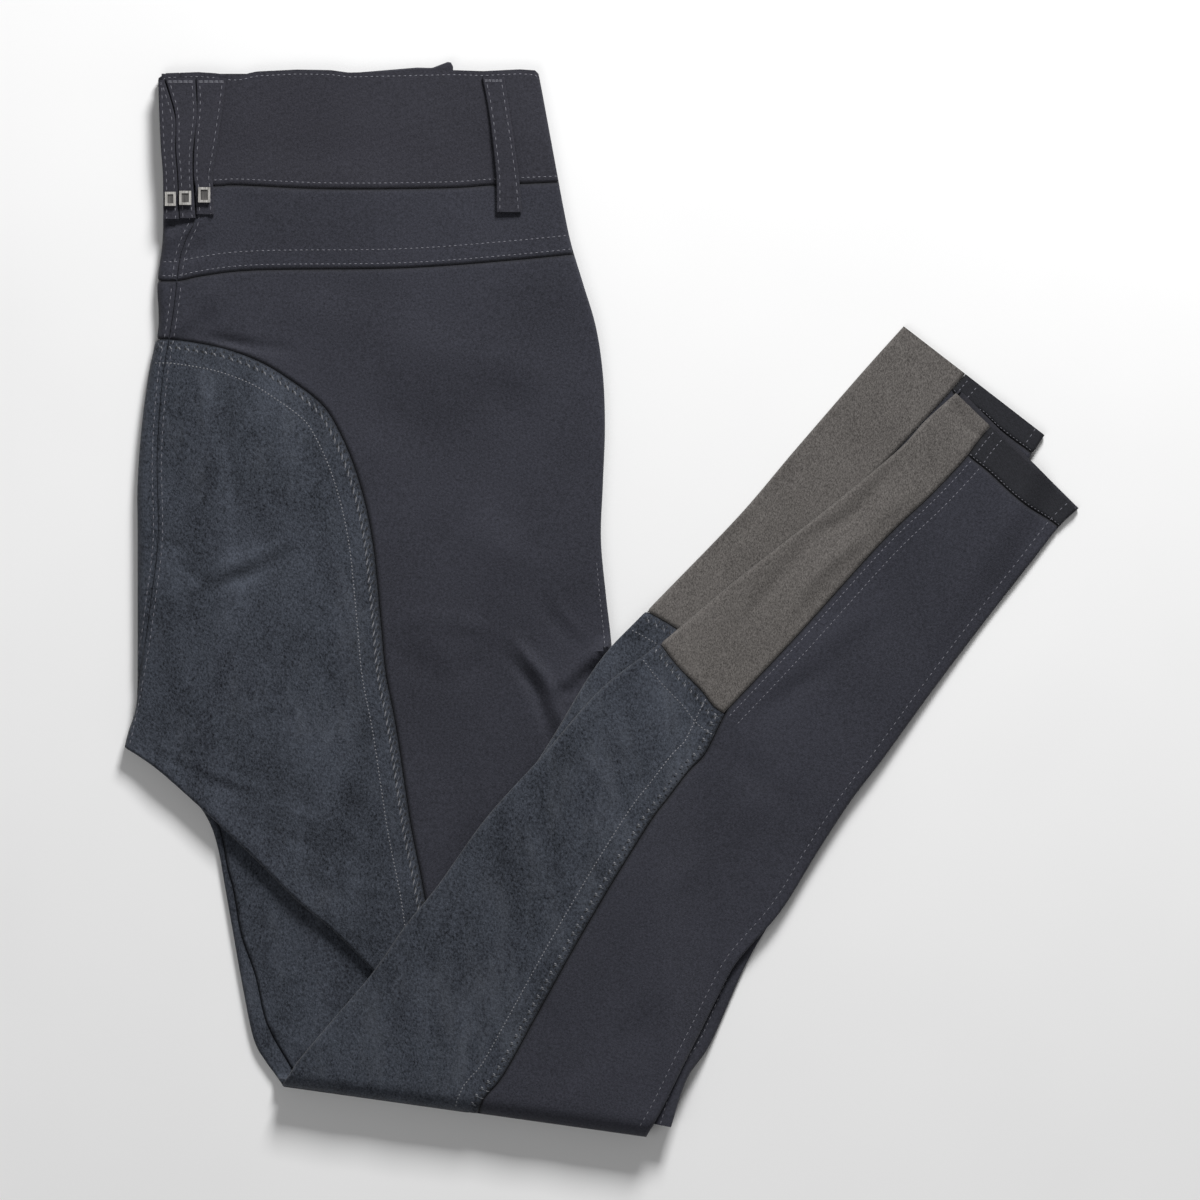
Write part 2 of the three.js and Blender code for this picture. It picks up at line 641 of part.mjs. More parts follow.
function addPiece(name, solid, finish) {
  const mesh = new THREE.Mesh(geometryOf(mainBody(solid)), finishes[finish]());
  mesh.name = name;
  group.add(mesh);
}

// Waistband, yoke, back panel and seat patch: the same seams cut the right side above and
// the left side below. The left side comes round the centre-back fold as a narrow strip.
function sideOf(rightWall, leftWall) {
  return {
    right: rightWall.subtract(leftOfBack.outer).intersect(slab(LAY + SEAM_GAP, FAR)),
    left: leftWall.add(rightWall.intersect(leftOfBack.inner).intersect(trunkLeftEdge(-FAR, FAR))),
  };
}
const softshellSides = sideOf(rightShell, leftShell);
const suedeSides = sideOf(rightSuedeShell, leftSuedeShell);
for (const side of ['right', 'left']) {
  const shell = softshellSides[side];
  const band = shell.intersect(waist.inner);
  const yoke = shell.subtract(waist.outer).intersect(aboveYoke.inner);
  const panel = shell.subtract(aboveYoke.outer).subtract(seat.outer);
  addPiece(`waistband_back_${side}`, band, 'waist');
  addPiece(`yoke_${side}`, yoke, 'softshell');
  addPiece(`back_panel_${side}`, panel, 'softshell');
  addPiece(`seat_patch_${side}`, suedeSides[side].intersect(seat.inner), 'suede');
}

// Inner thigh of the left leg, which shows beside the right inseam and tucks in under it
const rightInseam = [[-250, CROTCH_Y], ...RIGHT_THIGH_ROWS.map((row) => [row.left, row.leftY]), [-45, -290]];
const besideRightThigh = (tuck, low, start) => block([
  ...shifted(rightInseam, tuck), [-FAR, -FAR], [-FAR, CROTCH_Y],
], low, FAR).intersect(boxOf(-FAR, FAR, -FAR, start));
addPiece('inner_thigh_left', leftTube
  .intersect(besideRightThigh(INNER_THIGH_TUCK, ROUND + SEAM_GAP, CROTCH_Y - SEAM_GAP))
  .subtract(leftOfInseam.outer)
  .subtract(kneeZone(KNEE_WALL_DEPTH + SEAM_GAP)), 'suede');

// Left lower leg
const leftShinSuede = leftShinSuedeShell.intersect(shinSuede.inner);
addPiece('shin_suede_left', leftShinSuede.subtract(aboveCalf.outer), 'suede');
const leftCalf = leftShinShell.intersect(leftOfCalfEdge.inner);
addPiece('calf_panel_left', leftCalf.intersect(aboveCalf.inner), 'elastic');
const leftShinPanel = leftShinShell.subtract(shinSuede.outer).subtract(leftOfCalfEdge.outer);
addPiece('shin_panel_left', leftShinPanel.subtract(leftBand.outer), 'softshell');
addPiece('hem_band_left', leftShinPanel.intersect(leftBand.inner), 'band');

// Right lower leg
const rightShinSuede = rightShinShell.intersect(rightSuede.inner);
addPiece('shin_suede_right', rightShinSuede.subtract(rightAboveCalf.outer), 'suede');
const rightCalf = rightShinShell.intersect(leftOfRightCalf.inner);
addPiece('calf_panel_right', rightCalf.intersect(rightAboveCalf.inner), 'elastic');
const rightShinPanel = rightShinShell.subtract(rightSuede.outer).subtract(leftOfRightCalf.outer);
addPiece('shin_panel_right', rightShinPanel.subtract(rightBand.outer), 'softshell');
addPiece('hem_band_right', rightShinPanel.intersect(rightBand.inner), 'band');

// Hidden layers of the trunk and thighs, kept clear of the cloth round them
const rightClear = rightLay(SWOLLEN).subtract(rightLay(CORE_INSIDE)).intersect(rightShows(SEAM_GAP));
const leftClear = leftLay(SWOLLEN).subtract(leftLay(CORE_INSIDE, -1))
  .intersect(leftShows(SEAM_GAP, leftOfInseam.outer));
const innerThighClear = leftLay({ ...SWOLLEN, top: -SEAM_GAP }).subtract(leftLay(CORE_INSIDE, -1))
  .intersect(besideRightThigh(INNER_THIGH_TUCK + SEAM_GAP, ROUND, CROTCH_Y));
const mouth = boxOf(-FAR, FAR, WAIST_TOP - FRONT_RECESS, FAR);
const frontSlit = boxOf(-FAR, FAR, WAIST_TOP - MOUTH_DEPTH, FAR, LAY - SEAM_GAP / 2, LAY + SEAM_GAP / 2);
const peekRoom = boxOf(FRONT_PEEK.left - SEAM_GAP, FRONT_PEEK.right + SEAM_GAP, WAIST_TOP - MOUTH_DEPTH, FAR,
  LAY + SEAM_GAP / 2, FAR);
addPiece('hidden_layers_upper', rightLay(OUTSIDE).add(leftLay(OUTSIDE))
  .subtract(rightClear).subtract(leftClear).subtract(innerThighClear)
  .subtract(mouth).subtract(frontSlit).subtract(peekRoom), 'softshell');

// The front waistband's top edge, which shows behind the back one
const peekShape = new THREE.Shape(FRONT_PEEK.outline.map(([x, y]) => new THREE.Vector2(x, y)));
const peek = new THREE.ExtrudeGeometry(peekShape, { depth: FRONT_PEEK.thick, bevelEnabled: false });
peek.translate(0, 0, LAY + SEAM_GAP);
addPiece('waistband_front', solidFromGeometry(peek), 'waist');

// Hidden layers of the lower legs
const leftShinClear = leftShin(SWOLLEN).subtract(leftShin({ ...CORE_INSIDE, bottom: -1 }))
  .subtract(leftShin({ ...SWOLLEN, top: SEAM_GAP }, true));
const rightShinClear = rightShinRoom.subtract(rightShin(CORE_INSIDE));
const lowerLayers = leftShin(OUTSIDE).subtract(leftShinClear).subtract(rightShinClear);
addPiece('hidden_layers_lower', lowerLayers, 'softshell');

// Belt loops: strips that lie on the waistband, arched a little off it
function loopStrip(rows) {
  const arch = (y) => LOOP_ARCH * Math.sin(Math.PI * smooth((LOOP_TOP - y) / (LOOP_TOP - LOOP_FOOT)));
  const sections = between(rows, 2).map(({ x, y, wide }) => ({
    left: x - wide / 2,
    leftY: y,
    right: x + wide / 2,
    rightY: y,
    low: TRUNK_TOP + SEAM_GAP + arch(y),
    high: TRUNK_TOP + SEAM_GAP + arch(y) + LOOP_THICK,
    radii: SMALL_ROUND,
    place: (px, py, z) => [px, py, z],
  }));
  return loft(sections.map((section) => ring(section, OUTSIDE, LOOP_TICKS)));
}
for (const [name, rows] of Object.entries(LOOPS)) {
  addPiece(name, loopStrip(rows), 'waist');
}

// Square metal clasps, each a raised frame round a sunk middle
CLASPS.forEach(({ x, y, wide, tall }, i) => {
  const low = TRUNK_TOP + LOOP_THICK + 2 * SEAM_GAP + CLASP_SEAT;
  const plate = (w, h, from, to) => boxOf(x - w / 2, x + w / 2, y - h / 2, y + h / 2, from, to);
  const frame = plate(wide, tall, low, low + CLASP_THICK);
  const rims = 2 * CLASP_RIM;
  const sunk = plate(wide - rims, tall - rims, low + CLASP_THICK / 2, low + 2 * CLASP_THICK);
  addPiece(`clasp_${i + 1}`, frame.subtract(sunk), 'metal');
});

export default group;
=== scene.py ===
import math

import bpy
import numpy as np
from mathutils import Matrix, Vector
from mathutils.bvhtree import BVHTree


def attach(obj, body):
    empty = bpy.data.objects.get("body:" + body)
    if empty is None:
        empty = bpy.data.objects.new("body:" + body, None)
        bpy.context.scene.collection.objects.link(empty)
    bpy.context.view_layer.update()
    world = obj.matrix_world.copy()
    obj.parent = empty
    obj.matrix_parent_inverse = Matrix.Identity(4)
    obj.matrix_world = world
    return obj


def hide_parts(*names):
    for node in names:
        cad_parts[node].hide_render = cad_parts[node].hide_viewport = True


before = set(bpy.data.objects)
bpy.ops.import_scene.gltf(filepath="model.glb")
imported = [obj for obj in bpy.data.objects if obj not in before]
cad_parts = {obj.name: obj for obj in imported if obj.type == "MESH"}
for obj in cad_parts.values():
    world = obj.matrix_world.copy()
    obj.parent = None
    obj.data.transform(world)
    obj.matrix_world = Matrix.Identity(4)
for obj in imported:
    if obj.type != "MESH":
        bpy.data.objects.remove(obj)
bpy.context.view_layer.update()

# Folded riding breeches. Tables and sizes are in millimetres in the frame of the solids: the
# floor at z = 0, the waist towards +Y, the hems towards +X.

MM = 0.001
TINY = 1e-9

# The stack of layers, the turns at its folds and the knee fold
LAY = 4.2
TRUNK_TOP = 8.4
HALF_GAP = 0.15
ROUND = 2.1
MIN_RADIUS = 0.05
LAP = 0.1
INNER_INSET = 1.6
LEG_BASE = 9.2
LEG_STEP = 4.5
KNEE_MID = 9.0
KNEE_CLOSE = 0.05
KNEE_DEPTH = 14
KNEE_TURNS = 9
CROTCH_Y = -74.0
FOLD_FADE = 30.0
INNER_THIGH_TUCK = 8.0
DROP_START, DROP_LENGTH = 13.0, 30.0
STEP_START, STEP_FALL = 0.02, 0.2
INSEAM_LIFT, INSEAM_LIFT_WIDTH = 1.6, 14.0
LIFT_LOWER_END, LIFT_LOWER_FADE, LIFT_UPPER_FADE = -174.0, 25.0, 12.0

# Steps of the surfaces, the cloth's wall, the gaps and dips at its seams and the creases
SECTION_STEP = 2.4
ARC_TICKS = 6
TRUNK_TICKS = 104
UNDER_TICKS = 56
SHIN_TICKS = 56
WALL = 0.9
SUEDE_PROUD = 0.4
PIECE_GAP = 0.12
SEAM_LEVELS = (0.6, 1.2, 2.4)
SEAM_DIP, SEAM_DIP_WIDTH = 0.7, 0.9
# QUIET_SEAM: the share of dip and of painted seam shade that a quiet seam gets
QUIET_SEAM = 0.3
CREASE_GAIN = 1.25
CREASE_UNEVEN, CREASE_SWING, CREASE_SHIFT = 0.25, 9, 2.1
CREASE_END = 0.02
PROUD_WIDTH = 0.7
FLOOR_FADE = 0.6
# SHADE_WIDTH: how far from a seam the painted seam shade reaches
SHADE_WIDTH = 1.0
WAIST_MOUTH = 262.5
FAR_END = 300.0
FAR_OFF = 1000.0

# The columns of a surface's points: place, outward normal, how level it is, then its seams
PLACE, NORMAL, LEVEL, FIRST_SEAM = slice(0, 3), slice(3, 6), 6, 7

# y, left, right
TRUNK_ROWS = [
    (264, -221.5, -31.5), (254, -221, -29.5), (235, -219.5, -26), (216, -219, -22.5), (197, -219, -19),
    (178, -219.5, -15), (158, -222, -9), (136, -221.5, -2.5), (112, -226, 1), (86, -229.5, 2),
    (58, -231.5, 1), (30, -231.5, 0), (2, -231.5, 2.5), (-26, -231.5, 5.5), (-52, -232, 5.5),
    (-66, -236, 6), (CROTCH_Y, -238, 7),
]
# left, leftY, right, rightY
RIGHT_THIGH_ROWS = [
    (-221, -85.5, 8, -85.5), (-193, -110.5, 9, -110.5), (-172.5, -130, 10.5, -130),
    (-153, -149.5, 12.5, -150), (-133.5, -166, 14.5, -169), (-114, -185.5, 17, -192),
    (-96.5, -208, 20, -218), (-82, -229, 22, -240), (-73, -242, 22.5, -255),
]
LEFT_THIGH_ROWS = [
    (-221, -84.5, 8, -85.5), (-205.5, -98, 9, -101), (-196.5, -110, 9.5, -112),
    (-191.5, -124, 10, -128), (-188, -143, 11.5, -149), (-184.5, -163, 14, -172),
    (-179, -194, 18, -206), (-173.5, -220, 20.5, -240), (-167, -232, 22.5, -256),
    (-158.5, -243.5, 22.5, -269),
]
# left, leftY, right, rightY, share of the width that lies on the right lower leg
LEFT_SHIN_ROWS = [
    (-159, -243, 22.5, -269, 1), (-151, -231, 31, -254, 1), (-135.5, -212.5, 41.5, -232.5, 1),
    (-113.5, -186.5, 51, -214, 1), (-97.5, -163.5, 59, -198, 1), (-81, -143, 68.5, -181, 1),
    (-57, -109.5, 90, -156, 0.96), (-29, -78.5, 108, -127, 0.95), (0, -45.5, 125, -101, 0.93),
    (30, -22, 141, -80, 0.92), (67.5, 9.5, 165, -47, 0.86), (113.5, 45.5, 193, -10, 0.78),
    (148, 74, 216.5, 20, 0.72), (162, 89, 229, 36, 0.68), (177.5, 103, 238, 44.5, 0.62),
]
RIGHT_SHIN_ROWS = [
    (-144, -227, 35, -264), (-130, -212, 43, -240), (-107, -184, 55, -222), (-80, -147, 72, -184),
    (-50, -109, 87, -158), (-25, -71, 103, -130), (-1, -32, 121, -103), (23, -6, 137, -75),
    (68, 40.5, 160, -32), (97, 74.5, 181, 10), (129.5, 112, 203, 52), (151.5, 136.5, 222, 82),
]

# Seams as the points they pass through. A value measured from a seam is positive on the left
# of its direction.
SEAMS = {
    "waist": [(-235, 206.5), (-193, 206.5), (-182, 207), (-135, 205), (-78, 205.5), (-54, 207),
              (-10, 209)],
    "yoke": [(-236, 160), (-213, 159), (-200, 161.5), (-172, 164.5), (-100, 165.5), (-44, 169.5),
             (5, 174.5)],
    "seat": [(-240, 129.5), (-219.5, 130), (-211, 129.5), (-195.5, 127), (-184, 124), (-169, 118),
             (-156, 110), (-143.5, 101), (-135, 91.5), (-125, 71), (-118, 48.5), (-114, 28),
             (-112, 10.5), (-109.5, -17), (-107.5, -37.5), (-102.5, -63.5), (-97.5, -96.5),
             (-94.5, -116), (-88.5, -146.5), (-84, -176), (-78, -206), (-70, -236), (-60, -275)],
    "back": [(-211.5, 275), (-207, 215), (-203, 192), (-206.5, 182), (-210, 173), (-212, 160),
             (-213, 150), (-215.5, 133), (-219.5, 108), (-222, 71), (-221.5, 31), (-225, 0),
             (-228.5, -25), (-235, -60), (-241, -84)],
    "inseam": [(-212, -84), (-200, -98), (-191, -115), (-187, -135), (-184, -146), (-180, -168.5),
               (-173, -188.5), (-167.5, -212), (-157, -231.5), (-150, -243), (-140, -262)],
    "shin": [(-62, -285), (-60.5, -254), (-49.5, -239), (-33, -209.5), (-14.5, -176), (6, -141),
             (24.5, -111.5), (33, -100.5), (44.5, -85.5), (52, -77.5), (62, -57.5), (70, -45)],
    "calf_low": [(-5, 20), (10, 2), (30, -22.5), (38.5, -33.5), (50, -45.5), (56.5, -54), (62, -57.5)],
    "calf": [(62, -56.5), (97, -19.5), (139.5, 27.5), (164.5, 51.5), (181.5, 69.5),
             (189, 79.5), (200, 92)],
    "band": [(181.5, 75), (184.5, 71), (194, 63.5), (204, 54), (214, 46), (228, 37), (240, 24)],
    "right_band": [(176, 104), (180, 99), (191, 93), (197.5, 86.5), (208.5, 78), (216, 72.5),
                   (228, 60)],
    "right_shin": [(-62, -285), (-50, -239), (-15, -176), (20, -115), (44, -78), (56, -45), (60, -30)],
    "right_calf_low": [(8, 2), (23, -6), (37.5, -14.5), (50, -25), (58, -36), (70, -48)],
    "right_calf": [(50, -50), (56, -48), (58, -36), (90, 12), (130, 55), (165, 93), (181, 111), (190, 122)],
}

FRONT_PEEK = {"left": -121, "right": -73.5, "foot": 252.5, "low": 4.5, "high": 6.7}
FRONT_PEEK_TOP = [(-121, 263.5), (-92, 265.9), (-84.5, 265.7), (-76.5, 268.8), (-74.5, 268.2),
                  (-73.5, 264.5)]
PEEK_STEP, PEEK_ROUNDS, PEEK_TICKS = 1.0, (0.3, 0.3, 1.0, 1.0), 6

# y, left, right, from the top end to the foot
LOOPS = {
    "belt_loop_back_1": [(259.5, -221.4, -218.4), (241, -220.8, -213), (224.7, -220, -212.9),
                         (211.5, -219, -211.9), (190, -218.8, -211)],
    "belt_loop_back_2": [(260.5, -218, -202.9), (250.5, -215, -202.3), (241.3, -212.8, -202),
                         (224.7, -212.6, -203.9), (211.5, -211.6, -204.1), (190.5, -210.7, -202.7)],
    "belt_loop_back_3": [(260.5, -202.5, -187.5), (247, -202, -189), (224.7, -203.5, -192.3),
                         (211.5, -203.7, -194.4), (205.7, -202.8, -193.8), (192.4, -202.3, -193.4)],
    "belt_loop_side": [(261, -59.4, -48.4), (243, -56, -45.6), (218, -53, -42), (207, -52.3, -40.6),
                       (193.5, -52.3, -39.6)],
}
LOOP_TOP, LOOP_FOOT = 261.0, 190.0
LOOP_BASE, LOOP_ARCH, LOOP_THICK = 8.7, 0.8, 1.5
LOOP_STEP, LOOP_TICKS = 2.0, 8
LOOP_ROUNDS = (0.7, 0.5, 0.7, 0.5)

# Creases: height (a trough is negative), half width, and the points along each
TOP_CREASES = [
    (1.1, 2.2, [(-215, 132), (-206, 141), (-197.5, 151), (-192, 158)]),
    (-0.9, 3.0, [(-211, 130), (-200, 136), (-190, 146)]),
    (-1.6, 2.4, [(-203, 131.5), (-190, 129.5), (-172, 126.5), (-156, 125)]),
    (1.2, 2.2, [(-220, 175), (-212, 181), (-202, 187), (-193, 197)]),
    (-0.9, 3.0, [(-217, 168), (-206, 172), (-192, 182)]),
    (-0.8, 2.6, [(-220, 184), (-212, 190), (-206, 196)]),
    (1.3, 3.2, [(-199, 116), (-197, 84), (-192, 64.5), (-196, 32)]),
    (-1.6, 3.4, [(-190, 108), (-187, 76), (-183, 50), (-186, 28)]),
    (-1.0, 2.6, [(-219, 28), (-212, 26), (-206, 23)]),
    (-1.2, 3.0, [(-211, 18), (-204, 12), (-196, 9)]),
    (-1.9, 3.0, [(-154, 24), (-166, 17), (-176, 12), (-186, 8), (-202, 0)]),
    (1.6, 3.2, [(-150, 32), (-164, 25), (-178, 19), (-191, 14), (-214, -1)]),
    (0.6, 2.6, [(-222, -72), (-198, -85.5), (-164, -97)]),
    (-0.6, 3.0, [(-216, -80), (-196, -91), (-168, -102)]),
    (-2.0, 2.7, [(-48, -28), (-40, -37), (-33.5, -45), (-29.5, -57), (-22, -82)]),
    (2.5, 3.0, [(-43, -21), (-35, -31), (-28.5, -39), (-23.5, -51), (-13, -80)]),
    (-2.4, 2.8, [(24, -22), (10, -28), (2, -33), (-6, -38.5), (-13, -44.5), (-20, -51)]),
    (2.9, 2.8, [(22, -12), (8, -20.5), (0, -25.5), (-8, -31), (-15.5, -37.5), (-23, -44.5)]),
    (-0.8, 2.4, [(-21, -45), (-15, -47), (-8, -46)]),
    (0.5, 2.4, [(-26, 6), (-16, -10), (-6, -19)]),
    (-0.5, 3.0, [(-31, 0), (-21, -15), (-10, -24)]),
    (-0.9, 7.0, [(-100, -26), (-76, -41), (-56, -28)]),
    (0.7, 5.0, [(-100, -10), (-75, -11), (-48, -17)]),
    (-0.8, 12.0, [(-60, 120), (-40, 90), (-20, 70)]),
    (0.8, 12.0, [(-170, 150), (-120, 136), (-60, 118), (-20, 112)]),
    (-0.9, 14.0, [(-150, 110), (-110, 92), (-60, 80)]),
    (0.7, 10.0, [(-70, 40), (-40, 20), (-14, 10)]),
    (-0.6, 10.0, [(-190, 226), (-150, 222), (-100, 226)]),
    (0.6, 4.0, [(-180, -98), (-150, -108), (-118, -120)]),
    (-0.7, 4.0, [(-172, -112), (-146, -124), (-112, -130)]),
    (0.5, 3.0, [(-150, -132), (-130, -142), (-106, -146)]),
]
THIGH_CREASES = [
    (0.9, 3.0, [(-170, -211), (-157, -219), (-146, -227)]),
    (-0.7, 4.0, [(-205, -105), (-190, -140), (-182, -170)]),
    (-0.6, 4.0, [(-160, -150), (-150, -185), (-130, -215)]),
    (0.5, 4.0, [(-172, -160), (-165, -190), (-150, -222)]),
]
SHIN_CREASES = [
    (-1.7, 4.0, [(150, 70), (126, 42), (108, 32), (94, 16), (70, -14)]),
    (1.5, 4.5, [(160, 58), (132, 33), (110, 14), (86, -18)]),
    (-1.3, 1.8, [(170, 108), (177, 95), (180, 88), (192, 80)]),
    (0.7, 6.0, [(136, -4), (111.5, -22.5), (78.5, -50.5)]),
    (-0.9, 6.0, [(146, -10), (120, -30), (96, -46), (70, -66)]),
    (-0.8, 8.0, [(60, -70), (78, -90), (100, -104)]),
    (0.6, 7.0, [(30, -150), (60, -120), (84, -96)]),
    (-0.7, 8.0, [(-20, -240), (20, -215), (44, -190)]),
    (-0.7, 3.0, [(-35, -88), (-42, -104), (-52, -120)]),
    (-0.6, 7.0, [(-70, -160), (-40, -190), (-22, -226)]),
    (0.6, 5.0, [(-90, -176), (-64, -196), (-44, -226)]),
    (-0.5, 6.0, [(-110, -205), (-90, -222), (-70, -240)]),
    (-0.7, 6.0, [(0, -70), (18, -90), (40, -104)]),
    (0.6, 4.0, [(-24, -62), (-4, -84), (8, -108)]),
]
RIGHT_SHIN_CREASES = [
    (-0.8, 5.0, [(52, 18), (78, 42), (104, 72)]),
    (0.6, 5.0, [(80, 66), (104, 92), (126, 112)]),
    (-0.6, 4.0, [(0, -30), (12, -22), (26, -18)]),
]
UNDER_CREASES = [
    (1.0, 6.0, [(-160, 60), (-120, 10), (-90, -40)]),
    (0.8, 6.0, [(-60, 140), (-30, 90), (-12, 60)]),
    (0.9, 5.0, [(-200, 10), (-170, -20), (-150, -60)]),
    (0.7, 5.0, [(-40, -20), (-20, -60), (-6, -100)]),
    (0.8, 6.0, [(-150, -150), (-110, -170), (-70, -210)]),
    (0.7, 5.0, [(60, -40), (100, 0), (140, 50)]),
    (0.7, 5.0, [(150, 20), (170, 40), (196, 52)]),
]
# Faint unevenness all over: wave length, turn and phase of each wave
WAVES = [(41.0, 0.35, 1.9), (67.0, 1.25, 0.4), (93.0, 2.2, 4.1), (29.0, 2.75, 2.6)]
WAVE_HEIGHT = 0.3

# The waist's top edge, and how far down it is drawn along
TOP_EDGE = [(-221.5, 260.5), (-217.5, 263), (-201.5, 263.5), (-193, 263), (-184.5, 261.7), (-180, 262),
            (-172.5, 263.8), (-152, 264.8), (-135, 264.5), (-126.5, 263.3), (-116, 263.5), (-73.5, 264.5),
            (-59, 264), (-40.5, 264.9), (-33, 264.4), (-31.5, 263)]
TOP_EDGE_DEPTH = 26.0


def smooth(share):
    held = np.clip(share, 0.0, 1.0)
    return held * held * (3 - 2 * held)


def unit(vectors):
    return vectors / np.maximum(np.linalg.norm(vectors, axis=-1, keepdims=True), TINY)


def through(rows, step):
    """Rows spaced by at most step, on a smooth curve through the given ones."""
    rows = np.asarray(rows, float)
    out = []
    for i in range(len(rows) - 1):
        before, here, after = rows[max(0, i - 1)], rows[i], rows[i + 1]
        beyond = rows[min(len(rows) - 1, i + 2)]
        run = max(np.hypot(*(after - here)[:2]), np.hypot(*(after - here)[2:4]) if rows.shape[1] > 3 else 0)
        count = max(1, math.ceil(run / step))
        for k in range(count):
            t = k / count
            out.append(0.5 * (2 * here + (after - before) * t
                              + (2 * before - 5 * here + 4 * after - beyond) * t * t
                              + (3 * here - before - 3 * after + beyond) * t ** 3))
    out.append(rows[-1])
    return np.array(out)


def trunk_right(y):
    rows = [(row[0], row[2]) for row in TRUNK_ROWS] + [(row[3], row[2]) for row in LEFT_THIGH_ROWS]
    ys, xs = zip(*sorted(rows))
    return np.interp(y, ys, xs)


def leg_base(x, y):
    return LEG_BASE * (1 - smooth((x - trunk_right(y) - DROP_START) / DROP_LENGTH))


def near_line(points, x, y):
    """Distance to a line through points, and the share of the way along it."""
    line = through(points, 4.0)[:, :2]
    steps = np.hypot(*np.diff(line, axis=0).T)
    along = np.concatenate([[0], np.cumsum(steps)])
    best = np.full(x.shape, np.inf)
    share = np.zeros(x.shape)
    for i, length in enumerate(steps):
        a, b = line[i], line[i + 1]
        t = np.clip(((x - a[0]) * (b[0] - a[0]) + (y - a[1]) * (b[1] - a[1])) / length ** 2, 0, 1)
        far = np.hypot(x - a[0] - t * (b[0] - a[0]), y - a[1] - t * (b[1] - a[1]))
        nearer = far < best
        best = np.where(nearer, far, best)
        share = np.where(nearer, (along[i] + t * length) / along[-1], share)
    return best, share


def relief(creases, x, y):
    """Height of the creases at points of the plan. Each fades at its ends and is uneven."""
    out = np.zeros(x.shape)
    for k, (height, wide, points) in enumerate(creases):
        far, share = near_line(points, x, y)
        uneven = 1 - CREASE_UNEVEN + CREASE_UNEVEN * np.sin(CREASE_SWING * share + CREASE_SHIFT * k)
        faded = np.sin(np.pi * np.clip(share, CREASE_END, 1 - CREASE_END)) ** 0.5
        out += CREASE_GAIN * height * uneven * faded * np.exp(-(far / wide) ** 2)
    return out


def waves(x, y):
    return sum(np.sin(2 * np.pi * (x * math.cos(turn) + y * math.sin(turn)) / length + phase)
               for length, turn, phase in WAVES) * WAVE_HEIGHT / 2


def sections_of(rows, low, high, corners=(ROUND,) * 4):
    """Sections of a lay: its two edges, its lowest and highest height, and the radii of its
    four corners (top left, bottom left, top right, bottom right)."""
    rows = np.asarray(rows, float)
    fill = lambda v: np.broadcast_to(np.asarray(v, float), (len(rows),)).copy()
    return {"rows": rows, "low": fill(low), "high": fill(high), "radii": [fill(c) for c in corners]}


def joined(*parts):
    return {
        "rows": np.concatenate([p["rows"] for p in parts]),
        "low": np.concatenate([p["low"] for p in parts]),
        "high": np.concatenate([p["high"] for p in parts]),
        "radii": [np.concatenate([p["radii"][k] for p in parts]) for k in range(4)],
    }


def half_surface(sections, upper, ticks, place):
    """The upper or lower half of a lay as a sheet of points, from one side's middle round to
    the other's."""
    rows, low, high = sections["rows"], sections["low"], sections["high"]
    left, right = rows[:, 0:2], rows[:, 2:4]
    width = np.hypot(*(right - left).T)
    away = (right - left) / width[:, None]
    tall = np.maximum(high - low, 2 * MIN_RADIUS)
    top_left, bottom_left, top_right, bottom_right = sections["radii"]
    top_left = np.clip(top_left, MIN_RADIUS, tall - MIN_RADIUS)
    bottom_left = np.clip(np.minimum(bottom_left, tall - top_left), MIN_RADIUS, None)
    top_right = np.clip(top_right, MIN_RADIUS, tall / 2)
    bottom_right = np.clip(bottom_right, MIN_RADIUS, tall / 2)
    at_left, at_right, level = (
        (top_left, top_right, high) if upper else (bottom_left, bottom_right, low))
    up = 1 if upper else -1

    def corner(radius, angle):
        return (radius * (1 - math.cos(angle)), level - up * radius * (1 - math.sin(angle)),
                np.full(len(rows), math.sin(angle) ** 2))

    turned = [corner(at_left, math.pi / 2 * k / ARC_TICKS) for k in range(ARC_TICKS + 1)]
    flat = [(at_left + (width - at_left - at_right) * (k / ticks), level, np.ones(len(rows)))
            for k in range(1, ticks)]
    back = [corner(at_right, math.pi / 2 * (1 - k / ARC_TICKS)) for k in range(ARC_TICKS + 1)]
    back = [(width - u, z, w) for u, z, w in back]
    u, z, w = (np.stack(v, axis=1) for v in zip(*turned, *flat, *back))
    x = left[:, 0:1] + away[:, 0:1] * u
    y = left[:, 1:2] + away[:, 1:2] * u
    extra = rows[:, 4:5] if rows.shape[1] > 4 else np.ones((len(rows), 1))
    z = place(x, y, z, u / width[:, None], width[:, None], extra)
    base = np.stack([x, y, z], axis=2)
    along, around = np.gradient(base, axis=0), np.gradient(base, axis=1)
    normal = unit(np.cross(along, around))
    past_the_corner = ARC_TICKS + 3
    if normal[:, past_the_corner, 2].mean() * up < 0:
        normal = -normal
    rings, count = u.shape
    index = np.arange(rings * count).reshape(rings, count)
    a, b, c, d = index[:-1, :-1], index[:-1, 1:], index[1:, 1:], index[1:, :-1]
    faces = np.concatenate([np.stack(corners, -1).reshape(-1, 3) for corners in ([a, b, c], [a, c, d])])
    points = np.concatenate([base, normal, w[..., None]], axis=2).reshape(-1, FIRST_SEAM)
    return facing_out(points, faces)


def facing_out(points, faces):
    a, b, c = (points[faces[:, k], PLACE] for k in range(3))
    turned = (np.cross(b - a, c - a) * points[faces[:, 0], NORMAL]).sum(1) < 0
    faces = faces.copy()
    faces[turned] = faces[turned][:, [0, 2, 1]]
    return points, faces


def seam_line(name):
    return through(SEAMS[name], 5.0)[:, :2]


